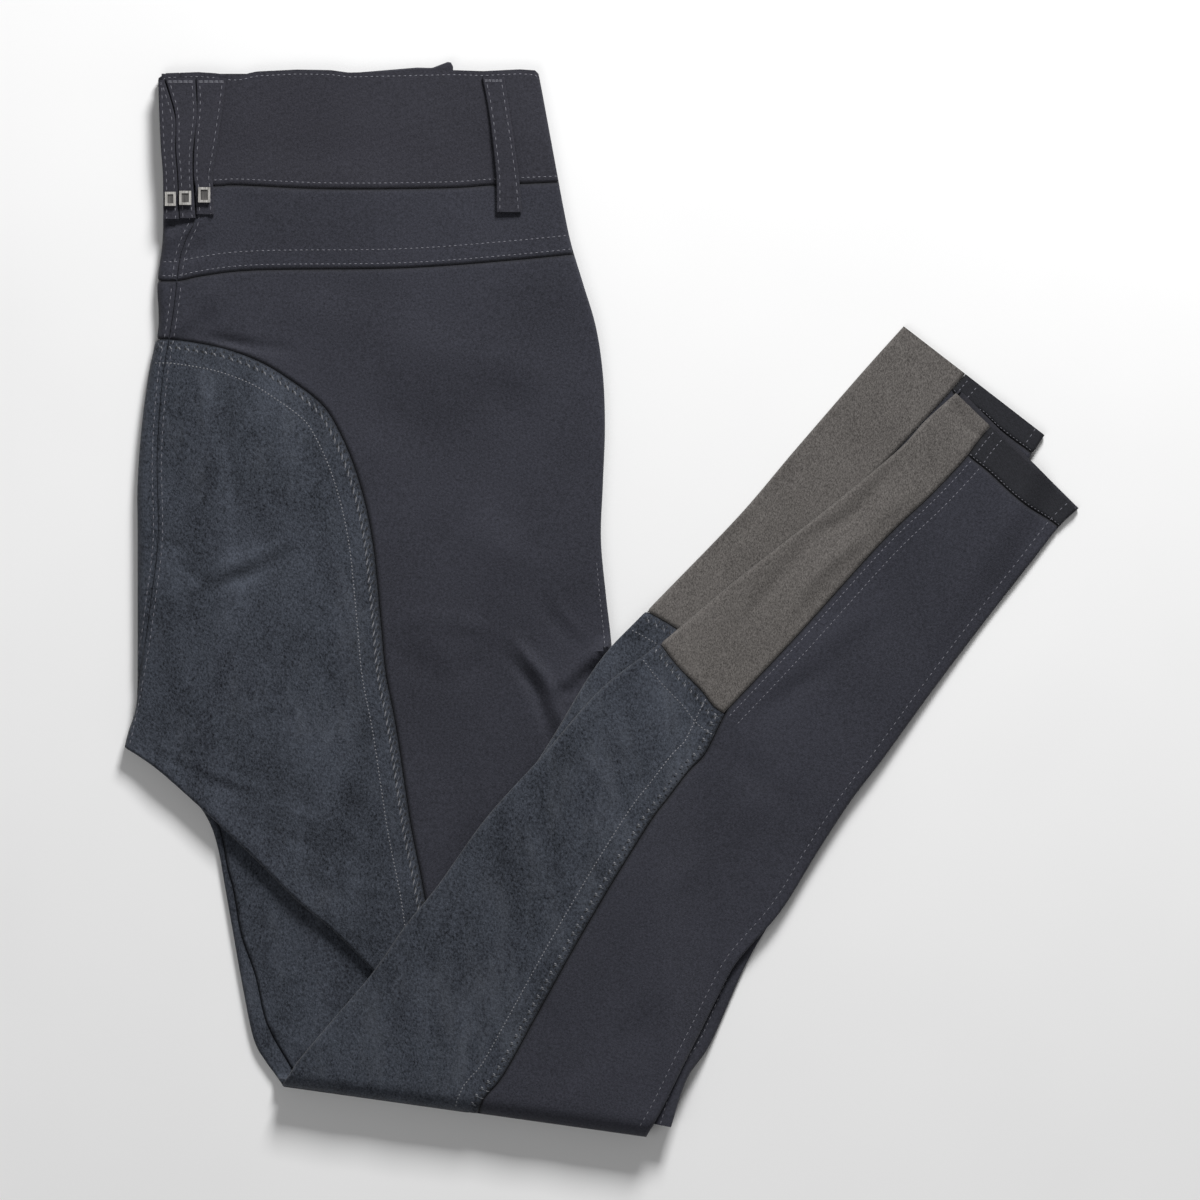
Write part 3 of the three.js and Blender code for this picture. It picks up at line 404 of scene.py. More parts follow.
def distance_from(line, x, y):
    """Signed distance from a line that runs on straight past both ends."""
    first = line[0] + unit(line[0] - line[1]) * FAR_END
    last = line[-1] + unit(line[-1] - line[-2]) * FAR_END
    line = np.vstack([first, line, last])
    best = np.full(x.shape, np.inf)
    for a, b in zip(line[:-1], line[1:]):
        dx, dy = b - a
        t = np.clip(((x - a[0]) * dx + (y - a[1]) * dy) / (dx * dx + dy * dy), 0, 1)
        ox, oy = x - a[0] - t * dx, y - a[1] - t * dy
        far = np.hypot(ox, oy) * np.where(dx * (y - a[1]) - dy * (x - a[0]) >= 0, 1, -1)
        best = np.where(np.abs(far) < np.abs(best) - TINY, far, best)
    return best


def with_seams(points, lines):
    """Adds a column to points for each line: the signed distance from it."""
    columns = [distance_from(line, points[:, 0], points[:, 1]) for line in lines]
    return np.column_stack([points, *columns])


def split(points, faces, column, level):
    """Cuts the triangles along one level of a column, and keeps both sides."""
    least = 1e-5
    value = points[:, column] - level
    value = np.where(np.abs(value) < least, least, value)
    above = value > 0
    signs = above[faces]
    mixed = signs.any(1) & ~signs.all(1)
    if not mixed.any():
        return points, faces
    crossing, kept = faces[mixed], faces[~mixed]
    marks = signs[mixed]
    lone_is_above = marks.sum(1) == 1
    lone = np.where(lone_is_above[:, None], marks, ~marks).argmax(1)
    order = (lone[:, None] + np.arange(3)) % 3
    a, b, c = np.take_along_axis(crossing, order, axis=1).T
    edges = np.sort(np.concatenate([np.stack([a, b], 1), np.stack([a, c], 1)]), axis=1)
    unique, back = np.unique(edges, axis=0, return_inverse=True)
    back = back.reshape(-1)
    va, vb = value[unique[:, 0]], value[unique[:, 1]]
    share = (va / (va - vb))[:, None]
    fresh = points[unique[:, 0]] * (1 - share) + points[unique[:, 1]] * share
    fresh[:, NORMAL] = unit(fresh[:, NORMAL])
    ab, ac = back[:len(a)] + len(points), back[len(a):] + len(points)
    new = np.concatenate([np.stack([a, ab, ac], 1), np.stack([ab, b, c], 1), np.stack([ab, c, ac], 1)])
    return np.vstack([points, fresh]), np.concatenate([kept, new])


def cut_mesh(mesh, lines, gap=PIECE_GAP):
    """A surface with a column for each line, and its triangles cut along the line's gap and
    the levels where the cloth turns down into the seam."""
    points, faces = mesh
    points = with_seams(points, lines)
    for k in range(len(lines)):
        for level in (gap, *SEAM_LEVELS):
            for sign in (1, -1):
                points, faces = split(points, faces, FIRST_SEAM + k, sign * level)
    return points, faces


def no_seams(mesh):
    """The mesh with one more seam column, of a seam that is nowhere near."""
    points, faces = mesh
    return np.column_stack([points, np.full(len(points), FAR_OFF)]), faces


def part(mesh, *conditions):
    """The triangles whose middle passes every condition, as a mesh of their own."""
    points, faces = mesh
    middle = points[faces].mean(axis=1)
    keep = np.ones(len(faces), bool)
    for condition in conditions:
        keep &= condition(middle)
    faces = faces[keep]
    used, inverse = np.unique(faces, return_inverse=True)
    return points[used], inverse.reshape(-1, 3)


def over(column, gap=PIECE_GAP):
    return lambda middle: middle[:, FIRST_SEAM + column] > gap


def under(column, gap=PIECE_GAP):
    return lambda middle: middle[:, FIRST_SEAM + column] < -gap


def welded(*meshes):
    """Meshes joined, with points that lie in one place, to 0.01 mm, made one."""
    columns = min(m[0].shape[1] for m in meshes)
    points = np.vstack([m[0][:, :columns] for m in meshes])
    starts = np.cumsum([0] + [len(m[0]) for m in meshes[:-1]])
    faces = np.concatenate([m[1] + start for m, start in zip(meshes, starts)])
    keys = np.round(points[:, PLACE], 2)
    _, first, back = np.unique(keys, axis=0, return_index=True, return_inverse=True)
    faces = back.reshape(-1)[faces]
    good = (faces[:, 0] != faces[:, 1]) & (faces[:, 1] != faces[:, 2]) & (faces[:, 0] != faces[:, 2])
    return points[first], faces[good]


def normals_of(points, faces):
    a, b, c = (points[faces[:, k]] for k in range(3))
    flat = np.cross(b - a, c - a)
    out = np.zeros_like(points)
    for k in range(3):
        np.add.at(out, faces[:, k], flat)
    return unit(out)


def shell(points, faces, wall):
    """A closed thin piece: the surface, the same surface moved in by the wall, and the rims."""
    inner = points - normals_of(points, faces) * wall
    count = len(points)
    directed = np.concatenate([faces[:, [0, 1]], faces[:, [1, 2]], faces[:, [2, 0]]])
    _, back, uses = np.unique(np.sort(directed, axis=1), axis=0, return_inverse=True, return_counts=True)
    rim = directed[uses[back.reshape(-1)] == 1]
    a, b = rim[:, 0], rim[:, 1]
    sides = np.concatenate([np.stack([b, a, a + count], 1), np.stack([b, a + count, b + count], 1)])
    return np.vstack([points, inner]), np.concatenate([faces, faces[:, ::-1] + count, sides])


def placed(name, data):
    made = bpy.data.objects.new(name, data)
    bpy.context.scene.collection.objects.link(made)
    return made


def object_from(name, points, faces, material, attributes=None, sharp=55):
    mesh = bpy.data.meshes.new(name)
    mesh.vertices.add(len(points))
    mesh.vertices.foreach_set("co", (points * MM).astype(np.float32).ravel())
    mesh.loops.add(len(faces) * 3)
    mesh.loops.foreach_set("vertex_index", faces.astype(np.int32).ravel())
    mesh.polygons.add(len(faces))
    mesh.polygons.foreach_set("loop_start", np.arange(0, len(faces) * 3, 3, dtype=np.int32))
    mesh.polygons.foreach_set("loop_total", np.full(len(faces), 3, np.int32))
    mesh.update(calc_edges=True)
    mesh.validate()
    mesh.shade_smooth()
    mesh.set_sharp_from_angle(angle=math.radians(sharp))
    for key, values in (attributes or {}).items():
        mesh.attributes.new(key, "FLOAT", "POINT").data.foreach_set("value", values.astype(np.float32))
    mesh.materials.append(material)
    return placed(name, mesh)


# Materials

def linear(red, green, blue):
    def one(v):
        v /= 255
        return v / 12.92 if v <= 0.04045 else ((v + 0.055) / 1.055) ** 2.4
    return (one(red), one(green), one(blue), 1.0)


# Painted shade: the colour the cloth is darkened towards along its seams, standing in for the shade in the
# seam grooves
PAINTED_SEAM_SHADE = (0.12, 0.12, 0.13, 1)


class Nodes:
    """A material's node tree, built a node at a time."""

    def __init__(self, name):
        self.material = bpy.data.materials.new(name)
        self.material.use_nodes = True
        self.tree = self.material.node_tree
        self.shader = self.tree.nodes["Principled BSDF"]
        self.place = self.add("ShaderNodeTexCoord").outputs["Object"]

    def fill(self, node, inputs):
        """Links each input to an output, or sets it to a value."""
        for key, value in inputs.items():
            if isinstance(value, bpy.types.NodeSocket):
                self.tree.links.new(value, node.inputs[key])
            else:
                node.inputs[key].default_value = value

    def add(self, kind, inputs=None, **settings):
        node = self.tree.nodes.new(kind)
        for key, value in settings.items():
            setattr(node, key, value)
        self.fill(node, inputs or {})
        return node

    def turned(self, turn, stretch=(1, 1, 1)):
        """The place on the cloth, turned and stretched."""
        inputs = {"Vector": self.place, "Rotation": (0, 0, turn), "Scale": stretch}
        return self.add("ShaderNodeMapping", inputs).outputs["Vector"]

    def noise(self, scale, detail=2.0, roughness=0.5, stretch=None, turn=0.0):
        place = self.turned(turn, stretch) if stretch else self.place
        inputs = {"Vector": place, "Scale": scale, "Detail": detail, "Roughness": roughness}
        return self.add("ShaderNodeTexNoise", inputs).outputs["Fac"]

    def math(self, operation, a, b):
        return self.add("ShaderNodeMath", {0: a, 1: b}, operation=operation).outputs[0]

    def mixed(self, *parts):
        """Noises added up, each by its weight."""
        total = None
        for noise, weight in parts:
            weighed = self.math("MULTIPLY", noise, weight)
            total = self.math("ADD", total, weighed) if total else weighed
        return total

    def between(self, share, dark, light, low=0.3, high=0.7):
        ramp = self.add("ShaderNodeValToRGB", {"Fac": share})
        first, last = ramp.color_ramp.elements
        first.position, first.color = low, dark
        last.position, last.color = high, light
        return ramp.outputs["Color"]

    def drawn(self, colour, share, amount, towards, blend_type="MIX"):
        """The colour, drawn towards another where share is 1."""
        inputs = {"Factor": self.math("MULTIPLY", share, amount), "A": colour, "B": towards}
        return self.add("ShaderNodeMix", inputs, data_type="RGBA", blend_type=blend_type).outputs["Result"]

    def with_painted_seam_shade(self, colour, amount):
        """The colour with painted shade in the seams, where the grooves lie in shade."""
        near = self.add("ShaderNodeAttribute", attribute_name="seam").outputs["Fac"]
        return self.drawn(colour, near, amount, PAINTED_SEAM_SHADE, "MULTIPLY")

    def bump(self, height, distance, strength=1.0, before=None):
        inputs = {"Height": height, "Distance": distance, "Strength": strength}
        if before:
            inputs["Normal"] = before
        return self.add("ShaderNodeBump", inputs).outputs["Normal"]

    def finish(self, colour, normal, roughness, sheen=0.0, specular=0.3, metallic=0.0):
        self.fill(self.shader, {"Base Color": colour, "Normal": normal, "Roughness": roughness,
                                "Sheen Weight": sheen, "Sheen Roughness": 0.5,
                                "Specular IOR Level": specular, "Metallic": metallic})
        return self.material


RIB_SCALE, RIB_DISTORTION, RIB_TURN = 560, 1.2, math.radians(35)
KNIT_TURN = math.radians(-43)


def woven(name, dark, light, sheen=0.06, turn=0.0):
    """Smooth stretch twill: faint broad changes of tone, a fine grain, fine diagonal ribs and painted shade
    in the seams.
    """
    n = Nodes(name)
    broad = n.noise(15, 2, 0.5)
    grain = n.noise(900, 2, 0.75)
    fine = n.noise(1900, 1, 0.6)
    share = n.mixed((broad, 0.2), (grain, 0.5), (fine, 0.3))
    colour = n.between(share, linear(*dark), linear(*light), 0.36, 0.64)
    colour = n.with_painted_seam_shade(colour, 0.85)
    ribs = n.add("ShaderNodeTexWave", {"Vector": n.turned(turn + RIB_TURN), "Scale": RIB_SCALE,
                                       "Distortion": RIB_DISTORTION})
    normal = n.bump(ribs.outputs["Fac"], 0.00008, 0.8, n.bump(grain, 0.00016, 0.7))
    return n.finish(colour, normal, 0.8, sheen)


def napped(name, dark, light, sheen=0.12):
    """Suede: a coarse nap, brushed marks, a few paler scuffs and painted shade in the seams."""
    n = Nodes(name)
    broad = n.noise(14, 2, 0.5)
    patches = n.noise(60, 3, 0.6, stretch=(1.0, 0.5, 1.0), turn=0.9)
    nap = n.noise(620, 3, 0.8)
    fibre = n.noise(1200, 2, 0.75, stretch=(1.0, 0.6, 1.0), turn=0.6)
    share = n.mixed((broad, 0.1), (patches, 0.2), (nap, 0.28), (fibre, 0.42))
    colour = n.between(share, linear(*dark), linear(*light), 0.37, 0.63)
    scuff = n.noise(30, 5, 0.8, stretch=(1.0, 0.4, 1.0), turn=0.75)
    scuffed = n.between(scuff, (0, 0, 0, 1), (1, 1, 1, 1), 0.52, 0.72)
    colour = n.with_painted_seam_shade(n.drawn(colour, scuffed, 0.3, linear(94, 98, 106)), 0.85)
    normal = n.bump(fibre, 0.0003, 0.8, n.bump(nap, 0.0006, 0.7))
    return n.finish(colour, normal, 0.95, sheen, 0.12)


def knitted(name, dark, light):
    """Heather knit: light and dark yarn specks drawn out along the leg, and painted shade in the seams."""
    n = Nodes(name)
    broad = n.noise(30, 3, 0.6)
    specks = n.noise(1250, 2, 0.8, stretch=(1.0, 0.6, 1.0), turn=KNIT_TURN)
    fine = n.noise(2300, 1, 0.5, stretch=(1.0, 0.6, 1.0), turn=KNIT_TURN)
    share = n.mixed((specks, 0.5), (fine, 0.4), (broad, 0.1))
    colour = n.with_painted_seam_shade(n.between(share, linear(*dark), linear(*light), 0.38, 0.62), 0.6)
    normal = n.bump(specks, 0.00025, 0.8, n.bump(fine, 0.0001, 0.5))
    return n.finish(colour, normal, 0.9, 0.1, 0.2)


def thread(name, dark, light):
    n = Nodes(name)
    twist = n.noise(3000, 1, 0.5)
    colour = n.between(twist, linear(*dark), linear(*light))
    return n.finish(colour, n.bump(twist, 0.00005, 0.5), 0.55, 0.0, 0.4)


def brushed(name, dark, light, metallic, roughness):
    n = Nodes(name)
    streaks = n.noise(1500, 2, 0.6, stretch=(1.0, 0.1, 1.0))
    colour = n.between(streaks, linear(*dark), linear(*light))
    return n.finish(colour, n.bump(streaks, 0.00003, 0.4), roughness, 0.0, 0.5, metallic)


SOFTSHELL = woven("softshell", (26, 27, 35), (56, 57, 67))
WAISTBAND = woven("waistband", (26, 26, 34), (52, 52, 61), turn=1.0)
SUEDE = napped("suede", (13, 15, 20), (77, 82, 92))
ELASTIC = knitted("elastic", (64, 61, 59), (110, 106, 103))
HEM_BAND = woven("hem_band", (20, 21, 26), (36, 37, 43), turn=0.5)
INSIDE = woven("inside", (38, 38, 44), (52, 52, 59), turn=0.2)
THREAD = thread("thread", (84, 84, 92), (132, 132, 140))
SUEDE_THREAD = thread("suede_thread", (84, 86, 92), (136, 136, 140))
DULL_THREAD = thread("dull_thread", (62, 65, 71), (104, 107, 112))
# Painted shade: near-black marks that stand in for the shade inside the needle holes
HOLE_SHADE = thread("painted_needle_hole_shade", (14, 15, 18), (24, 25, 29))
CLASP_METAL = brushed("clasp_metal", (150, 148, 144), (225, 222, 218), 0.5, 0.35)
CLASP_CENTRE = brushed("clasp_centre", (62, 61, 61), (104, 102, 100), 0.4, 0.5)

# The lays

def as_edges(rows):
    return [(left, y, right, y) for y, left, right in rows]


def stay(x, y, z, share, width, extra):
    return z


def right_place(x, y, z, share, width, extra):
    free = smooth((y - LIFT_LOWER_END) / LIFT_LOWER_FADE) * smooth((CROTCH_Y - y) / LIFT_UPPER_FADE)
    return z + INSEAM_LIFT * free * np.exp(-(share * width / INSEAM_LIFT_WIDTH) ** 2)


def left_shin_place(x, y, z, share, width, extra):
    step = LEG_STEP * (1 - smooth((share - extra - STEP_START) / STEP_FALL))
    return z + leg_base(x, y) + step


def right_shin_place(x, y, z, share, width, extra):
    return z + leg_base(x, y)


trunk_rows = through(as_edges(TRUNK_ROWS), SECTION_STEP)
fold = smooth((trunk_rows[:, 1] - CROTCH_Y) / FOLD_FADE)
crotch_row = as_edges(TRUNK_ROWS[-1:])
right_thigh = through(crotch_row + RIGHT_THIGH_ROWS, SECTION_STEP)[1:]
left_thigh = through(crotch_row + LEFT_THIGH_ROWS, SECTION_STEP)[1:]
blend = lambda a, b: a + (b - a) * fold

right_lay = joined(
    sections_of(trunk_rows, blend(LAY + HALF_GAP, LAY - LAP), TRUNK_TOP,
                (blend(ROUND, LAY), blend(ROUND, MIN_RADIUS), ROUND, ROUND)),
    sections_of(right_thigh, LAY + HALF_GAP, TRUNK_TOP))

# The inner layers keep clear of the fold along the trunk's left edge
inner_trunk_rows = trunk_rows + np.outer(fold * INNER_INSET, [1, 0, 0, 0])
right_inner_lay = sections_of(np.vstack([inner_trunk_rows, right_thigh]), LAY + HALF_GAP, TRUNK_TOP)

# The knee fold is a quarter turn about its middle height, one on the thigh and one on the leg
FIRST_TURN, FIRST_INNER_TURN = 0.02, 0.1
CLEAR_OF_TURN = 0.08


def knee_rows(edge, inner, radius):
    """The rows of a quarter turn, from the fold's edge inward, and how far each has risen."""
    edge, inner = np.asarray(edge, float), np.asarray(inner, float)
    turns = np.linspace(FIRST_TURN, math.pi / 2, KNEE_TURNS)
    shares = radius * (1 - np.cos(turns)) / KNEE_DEPTH
    return edge + (inner - edge) * shares[:, None], radius * np.sin(turns)


def past_turn(rows, edge, inner, radius):
    """The rows that lie further in than the quarter turn."""
    edge, inner = np.asarray(edge, float)[:4], np.asarray(inner, float)[:4]
    middle = (edge[0:2] + edge[2:4]) / 2
    inward = (inner[0:2] + inner[2:4]) / 2 - middle
    depth = ((rows[:, 0:2] + rows[:, 2:4]) / 2 - middle) @ (inward / (inward @ inward))
    return rows[depth > radius / KNEE_DEPTH + CLEAR_OF_TURN]


low_radius = KNEE_MID - KNEE_CLOSE
knee, rise = knee_rows(LEFT_THIGH_ROWS[-1], LEFT_THIGH_ROWS[-2], low_radius)
knee, rise = knee[::-1], rise[::-1]
left_thigh_open = past_turn(left_thigh, LEFT_THIGH_ROWS[-1], LEFT_THIGH_ROWS[-2], low_radius)
left_trunk = sections_of(trunk_rows, 0, blend(LAY - HALF_GAP, LAY + LAP),
                         (blend(ROUND, MIN_RADIUS), blend(ROUND, LAY), ROUND, ROUND))
left_thigh_lay = sections_of(left_thigh_open, 0, LAY - HALF_GAP)
left_knee = sections_of(knee, low_radius - rise, low_radius)
left_knee["radii"][1] = np.minimum(ROUND - HALF_GAP, rise)
left_lower = joined(left_trunk, left_thigh_lay, left_knee)

# Inside the fold the thigh's upper layer turns up round the same middle, with a smaller radius
inner_radius = low_radius - LAY + HALF_GAP
inner_turn = np.linspace(math.pi / 2, FIRST_INNER_TURN, KNEE_TURNS)
inner_share = (low_radius - inner_radius * np.cos(inner_turn)) / KNEE_DEPTH
edge, inner = (np.asarray(LEFT_THIGH_ROWS[k], float) for k in (-1, -2))
inner_knee = edge + (inner - edge) * inner_share[:, None]
inner_height = low_radius - inner_radius * np.sin(inner_turn)
left_inner_lay = joined(
    sections_of(np.vstack([inner_trunk_rows, left_thigh_open]), 0, LAY - HALF_GAP),
    sections_of(inner_knee, inner_height - LAY + HALF_GAP, inner_height))

leg_top = LEG_BASE + LEG_STEP + LAY
high_radius = leg_top - KNEE_MID - KNEE_CLOSE
shin_knee, shin_rise = knee_rows(LEFT_SHIN_ROWS[0], LEFT_SHIN_ROWS[1], high_radius)
left_shin_rows = past_turn(through(LEFT_SHIN_ROWS, SECTION_STEP), *LEFT_SHIN_ROWS[:2], high_radius)
left_shin = joined(
    sections_of(shin_knee, LAY - high_radius, LAY - high_radius + shin_rise),
    sections_of(left_shin_rows, 0, LAY))
left_shin["radii"][0] = np.minimum(left_shin["radii"][0], left_shin["high"] - left_shin["low"])
right_shin = sections_of(through(RIGHT_SHIN_ROWS, SECTION_STEP), 0, LAY)

# The inside of the left lower leg's hem shows a little past its outside
HEM_PEEK = 2.6
inner_shin_rows = through(LEFT_SHIN_ROWS, SECTION_STEP * 1.5)[2:]
hem_way = inner_shin_rows[-1, :4] - inner_shin_rows[-2, :4]
hem_way /= np.hypot(hem_way[0], hem_way[1])
hem_row = inner_shin_rows[-1].copy()
hem_row[:4] += hem_way * HEM_PEEK
inner_shin_rows = np.vstack([inner_shin_rows, hem_row])
left_shin_inner = sections_of(inner_shin_rows, 0, LAY)

surfaces = {
    "right_up": half_surface(right_lay, True, TRUNK_TICKS, right_place),
    "right_down": half_surface(right_inner_lay, False, UNDER_TICKS // 2, right_place),
    "left_up": half_surface(left_inner_lay, True, UNDER_TICKS, stay),
    "left_down": half_surface(left_lower, False, UNDER_TICKS, stay),
    "left_shin_up": half_surface(left_shin, True, SHIN_TICKS, left_shin_place),
    "left_shin_down": half_surface(left_shin_inner, False, SHIN_TICKS // 2, left_shin_place),
    "right_shin_up": half_surface(right_shin, True, SHIN_TICKS, right_shin_place),
    "right_shin_down": half_surface(right_shin, False, SHIN_TICKS, right_shin_place),
}

# Panels: every cut is along a seam seen from above. The fourth column is the back seam on the
# trunk and the inseam on the thigh. A seam marked quiet dips less and gets less painted shade.
WAIST, YOKE, SEAT, FOURTH, FIFTH = range(5)
QUIET_MARK = 100
right_inseam = np.array([(-250, CROTCH_Y)] + [row[:2] for row in RIGHT_THIGH_ROWS] + [(-45, -290)], float)
waist, yoke, seat, back, inseam = (seam_line(name) for name in ("waist", "yoke", "seat", "back", "inseam"))
right_up = cut_mesh(surfaces["right_up"], [waist, yoke, seat, back])
left_down = no_seams(cut_mesh(surfaces["left_down"], [waist, yoke, seat]))
left_up = cut_mesh(surfaces["left_up"], [inseam])
far_columns = np.full((len(left_up[0]), 3), FAR_OFF)
under_inseam = distance_from(right_inseam, *left_up[0][:, :2].T)
left_up = (np.column_stack([left_up[0][:, :FIRST_SEAM], far_columns, left_up[0][:, FIRST_SEAM],
                            under_inseam]), left_up[1])
left_up = split(*left_up, FIRST_SEAM + FIFTH, INNER_THIGH_TUCK)


def in_thigh(middle):
    return middle[:, 1] < CROTCH_Y


def above_crotch(middle):
    return middle[:, 1] > CROTCH_Y


def below_mouth(middle):
    return middle[:, 1] < WAIST_MOUTH


def edge_moved(points):
    """The waist's top edge isn't straight: points near it move along the garment."""
    points = points.copy()
    share = smooth((points[:, 1] - TRUNK_ROWS[0][0] + TOP_EDGE_DEPTH) / TOP_EDGE_DEPTH)
    points[:, 1] += (np.interp(points[:, 0], *zip(*TOP_EDGE)) - TRUNK_ROWS[0][0]) * share
    return points


def lifted(mesh, creases, down=False):
    """The creases and a faint unevenness, as height. A surface that rests on the floor only
    rises from it."""
    points, faces = mesh
    points = points.copy()
    x, y = points[:, 0], points[:, 1]
    shape = relief(creases, x, y)
    if down:
        height = np.maximum(0, shape + 0.5 * waves(x, y))
    else:
        height = shape + waves(x, y) - WAVE_HEIGHT
    points[:, 2] += height * points[:, LEVEL]
    return points, faces


def sewn(mesh, seams, proud):
    """Turns the cloth down into its seams and gives it its wall. Returns the outside as
    points and faces, the closed piece and the painted seam shade: how near a seam each of its points is."""
    points, faces = mesh
    place, normal = points[:, PLACE], points[:, NORMAL]
    near = np.full(len(points), FAR_OFF)
    strength = np.ones(len(points))
    for column in seams:
        distance = np.abs(points[:, FIRST_SEAM + column % QUIET_MARK])
        strength = np.where(distance < near, QUIET_SEAM if column >= QUIET_MARK else 1.0, strength)
        near = np.minimum(near, distance)
    dip = SEAM_DIP * strength * np.exp(-(near / SEAM_DIP_WIDTH) ** 2)
    off_floor = smooth((normal[:, 2] + 1.0) / FLOOR_FADE)
    rise = proud * off_floor * (1 - strength * np.exp(-(near / PROUD_WIDTH) ** 2))
    place = place + normal * (rise - dip)[:, None]
    closed, closed_faces = shell(place, faces, WALL + proud)
    # Painted shade along the seams: the material darkens the colour by this where the grooves lie in shade
    painted_shade_near_seams = strength * np.exp(-(near / SHADE_WIDTH) ** 2)
    return (place, faces), (closed, closed_faces), np.concatenate([painted_shade_near_seams, painted_shade_near_seams])


# Cloth: material and the record's slot
CLOTH = {
    "softshell": (SOFTSHELL, "softshell"),
    "waistband": (WAISTBAND, "waistband"),
    "suede": (SUEDE, "suede"),
    "elastic": (ELASTIC, "elastic"),
    "hem_band": (HEM_BAND, "hem_band"),
    "inside": (INSIDE, "softshell"),
}
outsides = {}


def standing_for(piece, node, slot):
    """The piece rides on the garment's one body and stands for the node."""
    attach(piece, "root")
    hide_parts(node)
    return piece


def cloth_piece(name, cloth, seams, parts, node=None):
    """One piece of cloth, which stands for the node of its name unless another is given."""
    material, slot = CLOTH[cloth]
    outside, closed, painted_shade_near_seams = sewn(welded(*parts), seams, SUEDE_PROUD if cloth == "suede" else 0.0)
    outsides[name] = outside
    # The seam attribute carries the painted seam shade to the material
    standing_for(object_from("cloth_" + name, *closed, material, {"seam": painted_shade_near_seams}),
                              node or name, slot)


top = lifted((edge_moved(right_up[0]), right_up[1]), TOP_CREASES)
floor_side = lifted((edge_moved(left_down[0]), left_down[1]), UNDER_CREASES, down=True)
thigh = lifted(left_up, THIGH_CREASES)
on_fold = (under(FOURTH), above_crotch)
TRUNK_PANELS = {
    "waistband_back": ("waistband", [WAIST], (over(WAIST),)),
    "yoke": ("softshell", [WAIST, YOKE], (under(WAIST), over(YOKE))),
    "back_panel": ("softshell", [YOKE, SEAT], (under(YOKE), over(SEAT))),
    "seat_patch": ("suede", [SEAT], (under(SEAT),)),
}
for stem, (cloth, seams, cuts) in TRUNK_PANELS.items():
    seams = [*seams, QUIET_MARK + FOURTH]
    cloth_piece(stem + "_right", cloth, seams, [part(top, *cuts, over(FOURTH))])
    parts = [part(floor_side, *cuts), part(top, *cuts, *on_fold)]
    if stem == "seat_patch":
        parts.append(part(thigh, in_thigh, under(FOURTH)))
    cloth_piece(stem + "_left", cloth, seams, parts)

beside = lambda middle: middle[:, FIRST_SEAM + FIFTH] < INNER_THIGH_TUCK
beneath = lambda middle: (middle[:, FIRST_SEAM + FIFTH] > INNER_THIGH_TUCK) | above_crotch(middle)
cloth_piece("inner_thigh_left", "suede", [FOURTH], [part(thigh, in_thigh, over(FOURTH), beside)])
cloth_piece("front_right", "inside", [0], [part(no_seams(surfaces["right_down"]), below_mouth)],
            "hidden_layers_upper")
cloth_piece("front_left", "inside", [FOURTH], [part(left_up, below_mouth, beneath)], "hidden_layers_upper")

# Lower legs
SUEDE_EDGE, CALF_LOW, CALF_SIDE, BAND = range(4)
left_leg_lines = [seam_line(name) for name in ("shin", "calf_low", "calf", "band")]
right_leg_lines = [seam_line(name) for name in ("right_shin", "right_calf_low", "right_calf", "right_band")]
# This seam runs on straight to the left, level with its first point
right_leg_lines[CALF_SIDE] = np.vstack([(-FAR_END, right_leg_lines[CALF_SIDE][0, 1]),
                                        right_leg_lines[CALF_SIDE]])
leg_top_side = lifted(cut_mesh(surfaces["left_shin_up"], left_leg_lines), SHIN_CREASES)
right_leg = [
    lifted(cut_mesh(surfaces["right_shin_up"], right_leg_lines), RIGHT_SHIN_CREASES),
    lifted(cut_mesh(surfaces["right_shin_down"], right_leg_lines), UNDER_CREASES, down=True),
]
LEG_PANELS = {
    "shin_suede": ("suede", [SUEDE_EDGE, CALF_LOW], (over(SUEDE_EDGE), under(CALF_LOW))),
    "calf_panel": ("elastic", [CALF_LOW, CALF_SIDE], (over(CALF_LOW), over(CALF_SIDE))),
    "shin_panel": ("softshell", [SUEDE_EDGE, CALF_SIDE, BAND],
                   (under(SUEDE_EDGE), under(CALF_SIDE), under(BAND))),
    "hem_band": ("hem_band", [CALF_SIDE, BAND], (under(SUEDE_EDGE), under(CALF_SIDE), over(BAND))),
}
for stem, (cloth, seams, cuts) in LEG_PANELS.items():
    cloth_piece(stem + "_left", cloth, seams, [part(leg_top_side, *cuts)])
    cloth_piece(stem + "_right", cloth, seams, [part(side, *cuts) for side in right_leg])
cloth_piece("shin_inside_left", "inside", [0], [no_seams(surfaces["left_shin_down"])], "hidden_layers_lower")


def solid_between(sections, ticks):
    """Both halves of a small lay as one closed piece, with its ends filled."""
    count = len(sections["rows"])
    upper, lower = (half_surface(sections, up, ticks, stay)[0][:, PLACE].reshape(count, -1, 3)
                    for up in (True, False))
    rings = np.concatenate([upper, lower[:, ::-1]], axis=1)
    index = np.arange(rings.shape[0] * rings.shape[1]).reshape(rings.shape[:2])
    a, b = index[:-1], index[1:]
    a_next, b_next = np.roll(a, -1, axis=1), np.roll(b, -1, axis=1)
    points = np.vstack([rings.reshape(-1, 3), rings[0].mean(0), rings[-1].mean(0)])
    faces = [np.stack([a, a_next, b_next], -1).reshape(-1, 3), np.stack([a, b_next, b], -1).reshape(-1, 3)]
    for ring, middle, turn in ((index[0], len(points) - 2, 1), (index[-1], len(points) - 1, -1)):
        fan = np.stack([np.roll(ring, -1), ring, np.full(len(ring), middle)], axis=1)
        faces.append(fan[:, ::turn])
    faces = np.concatenate(faces)
    p, q, r = (points[faces[:, k]] for k in range(3))
    if (np.cross(p, q) * r).sum() < 0:
        faces = faces[:, ::-1]
    return points, faces


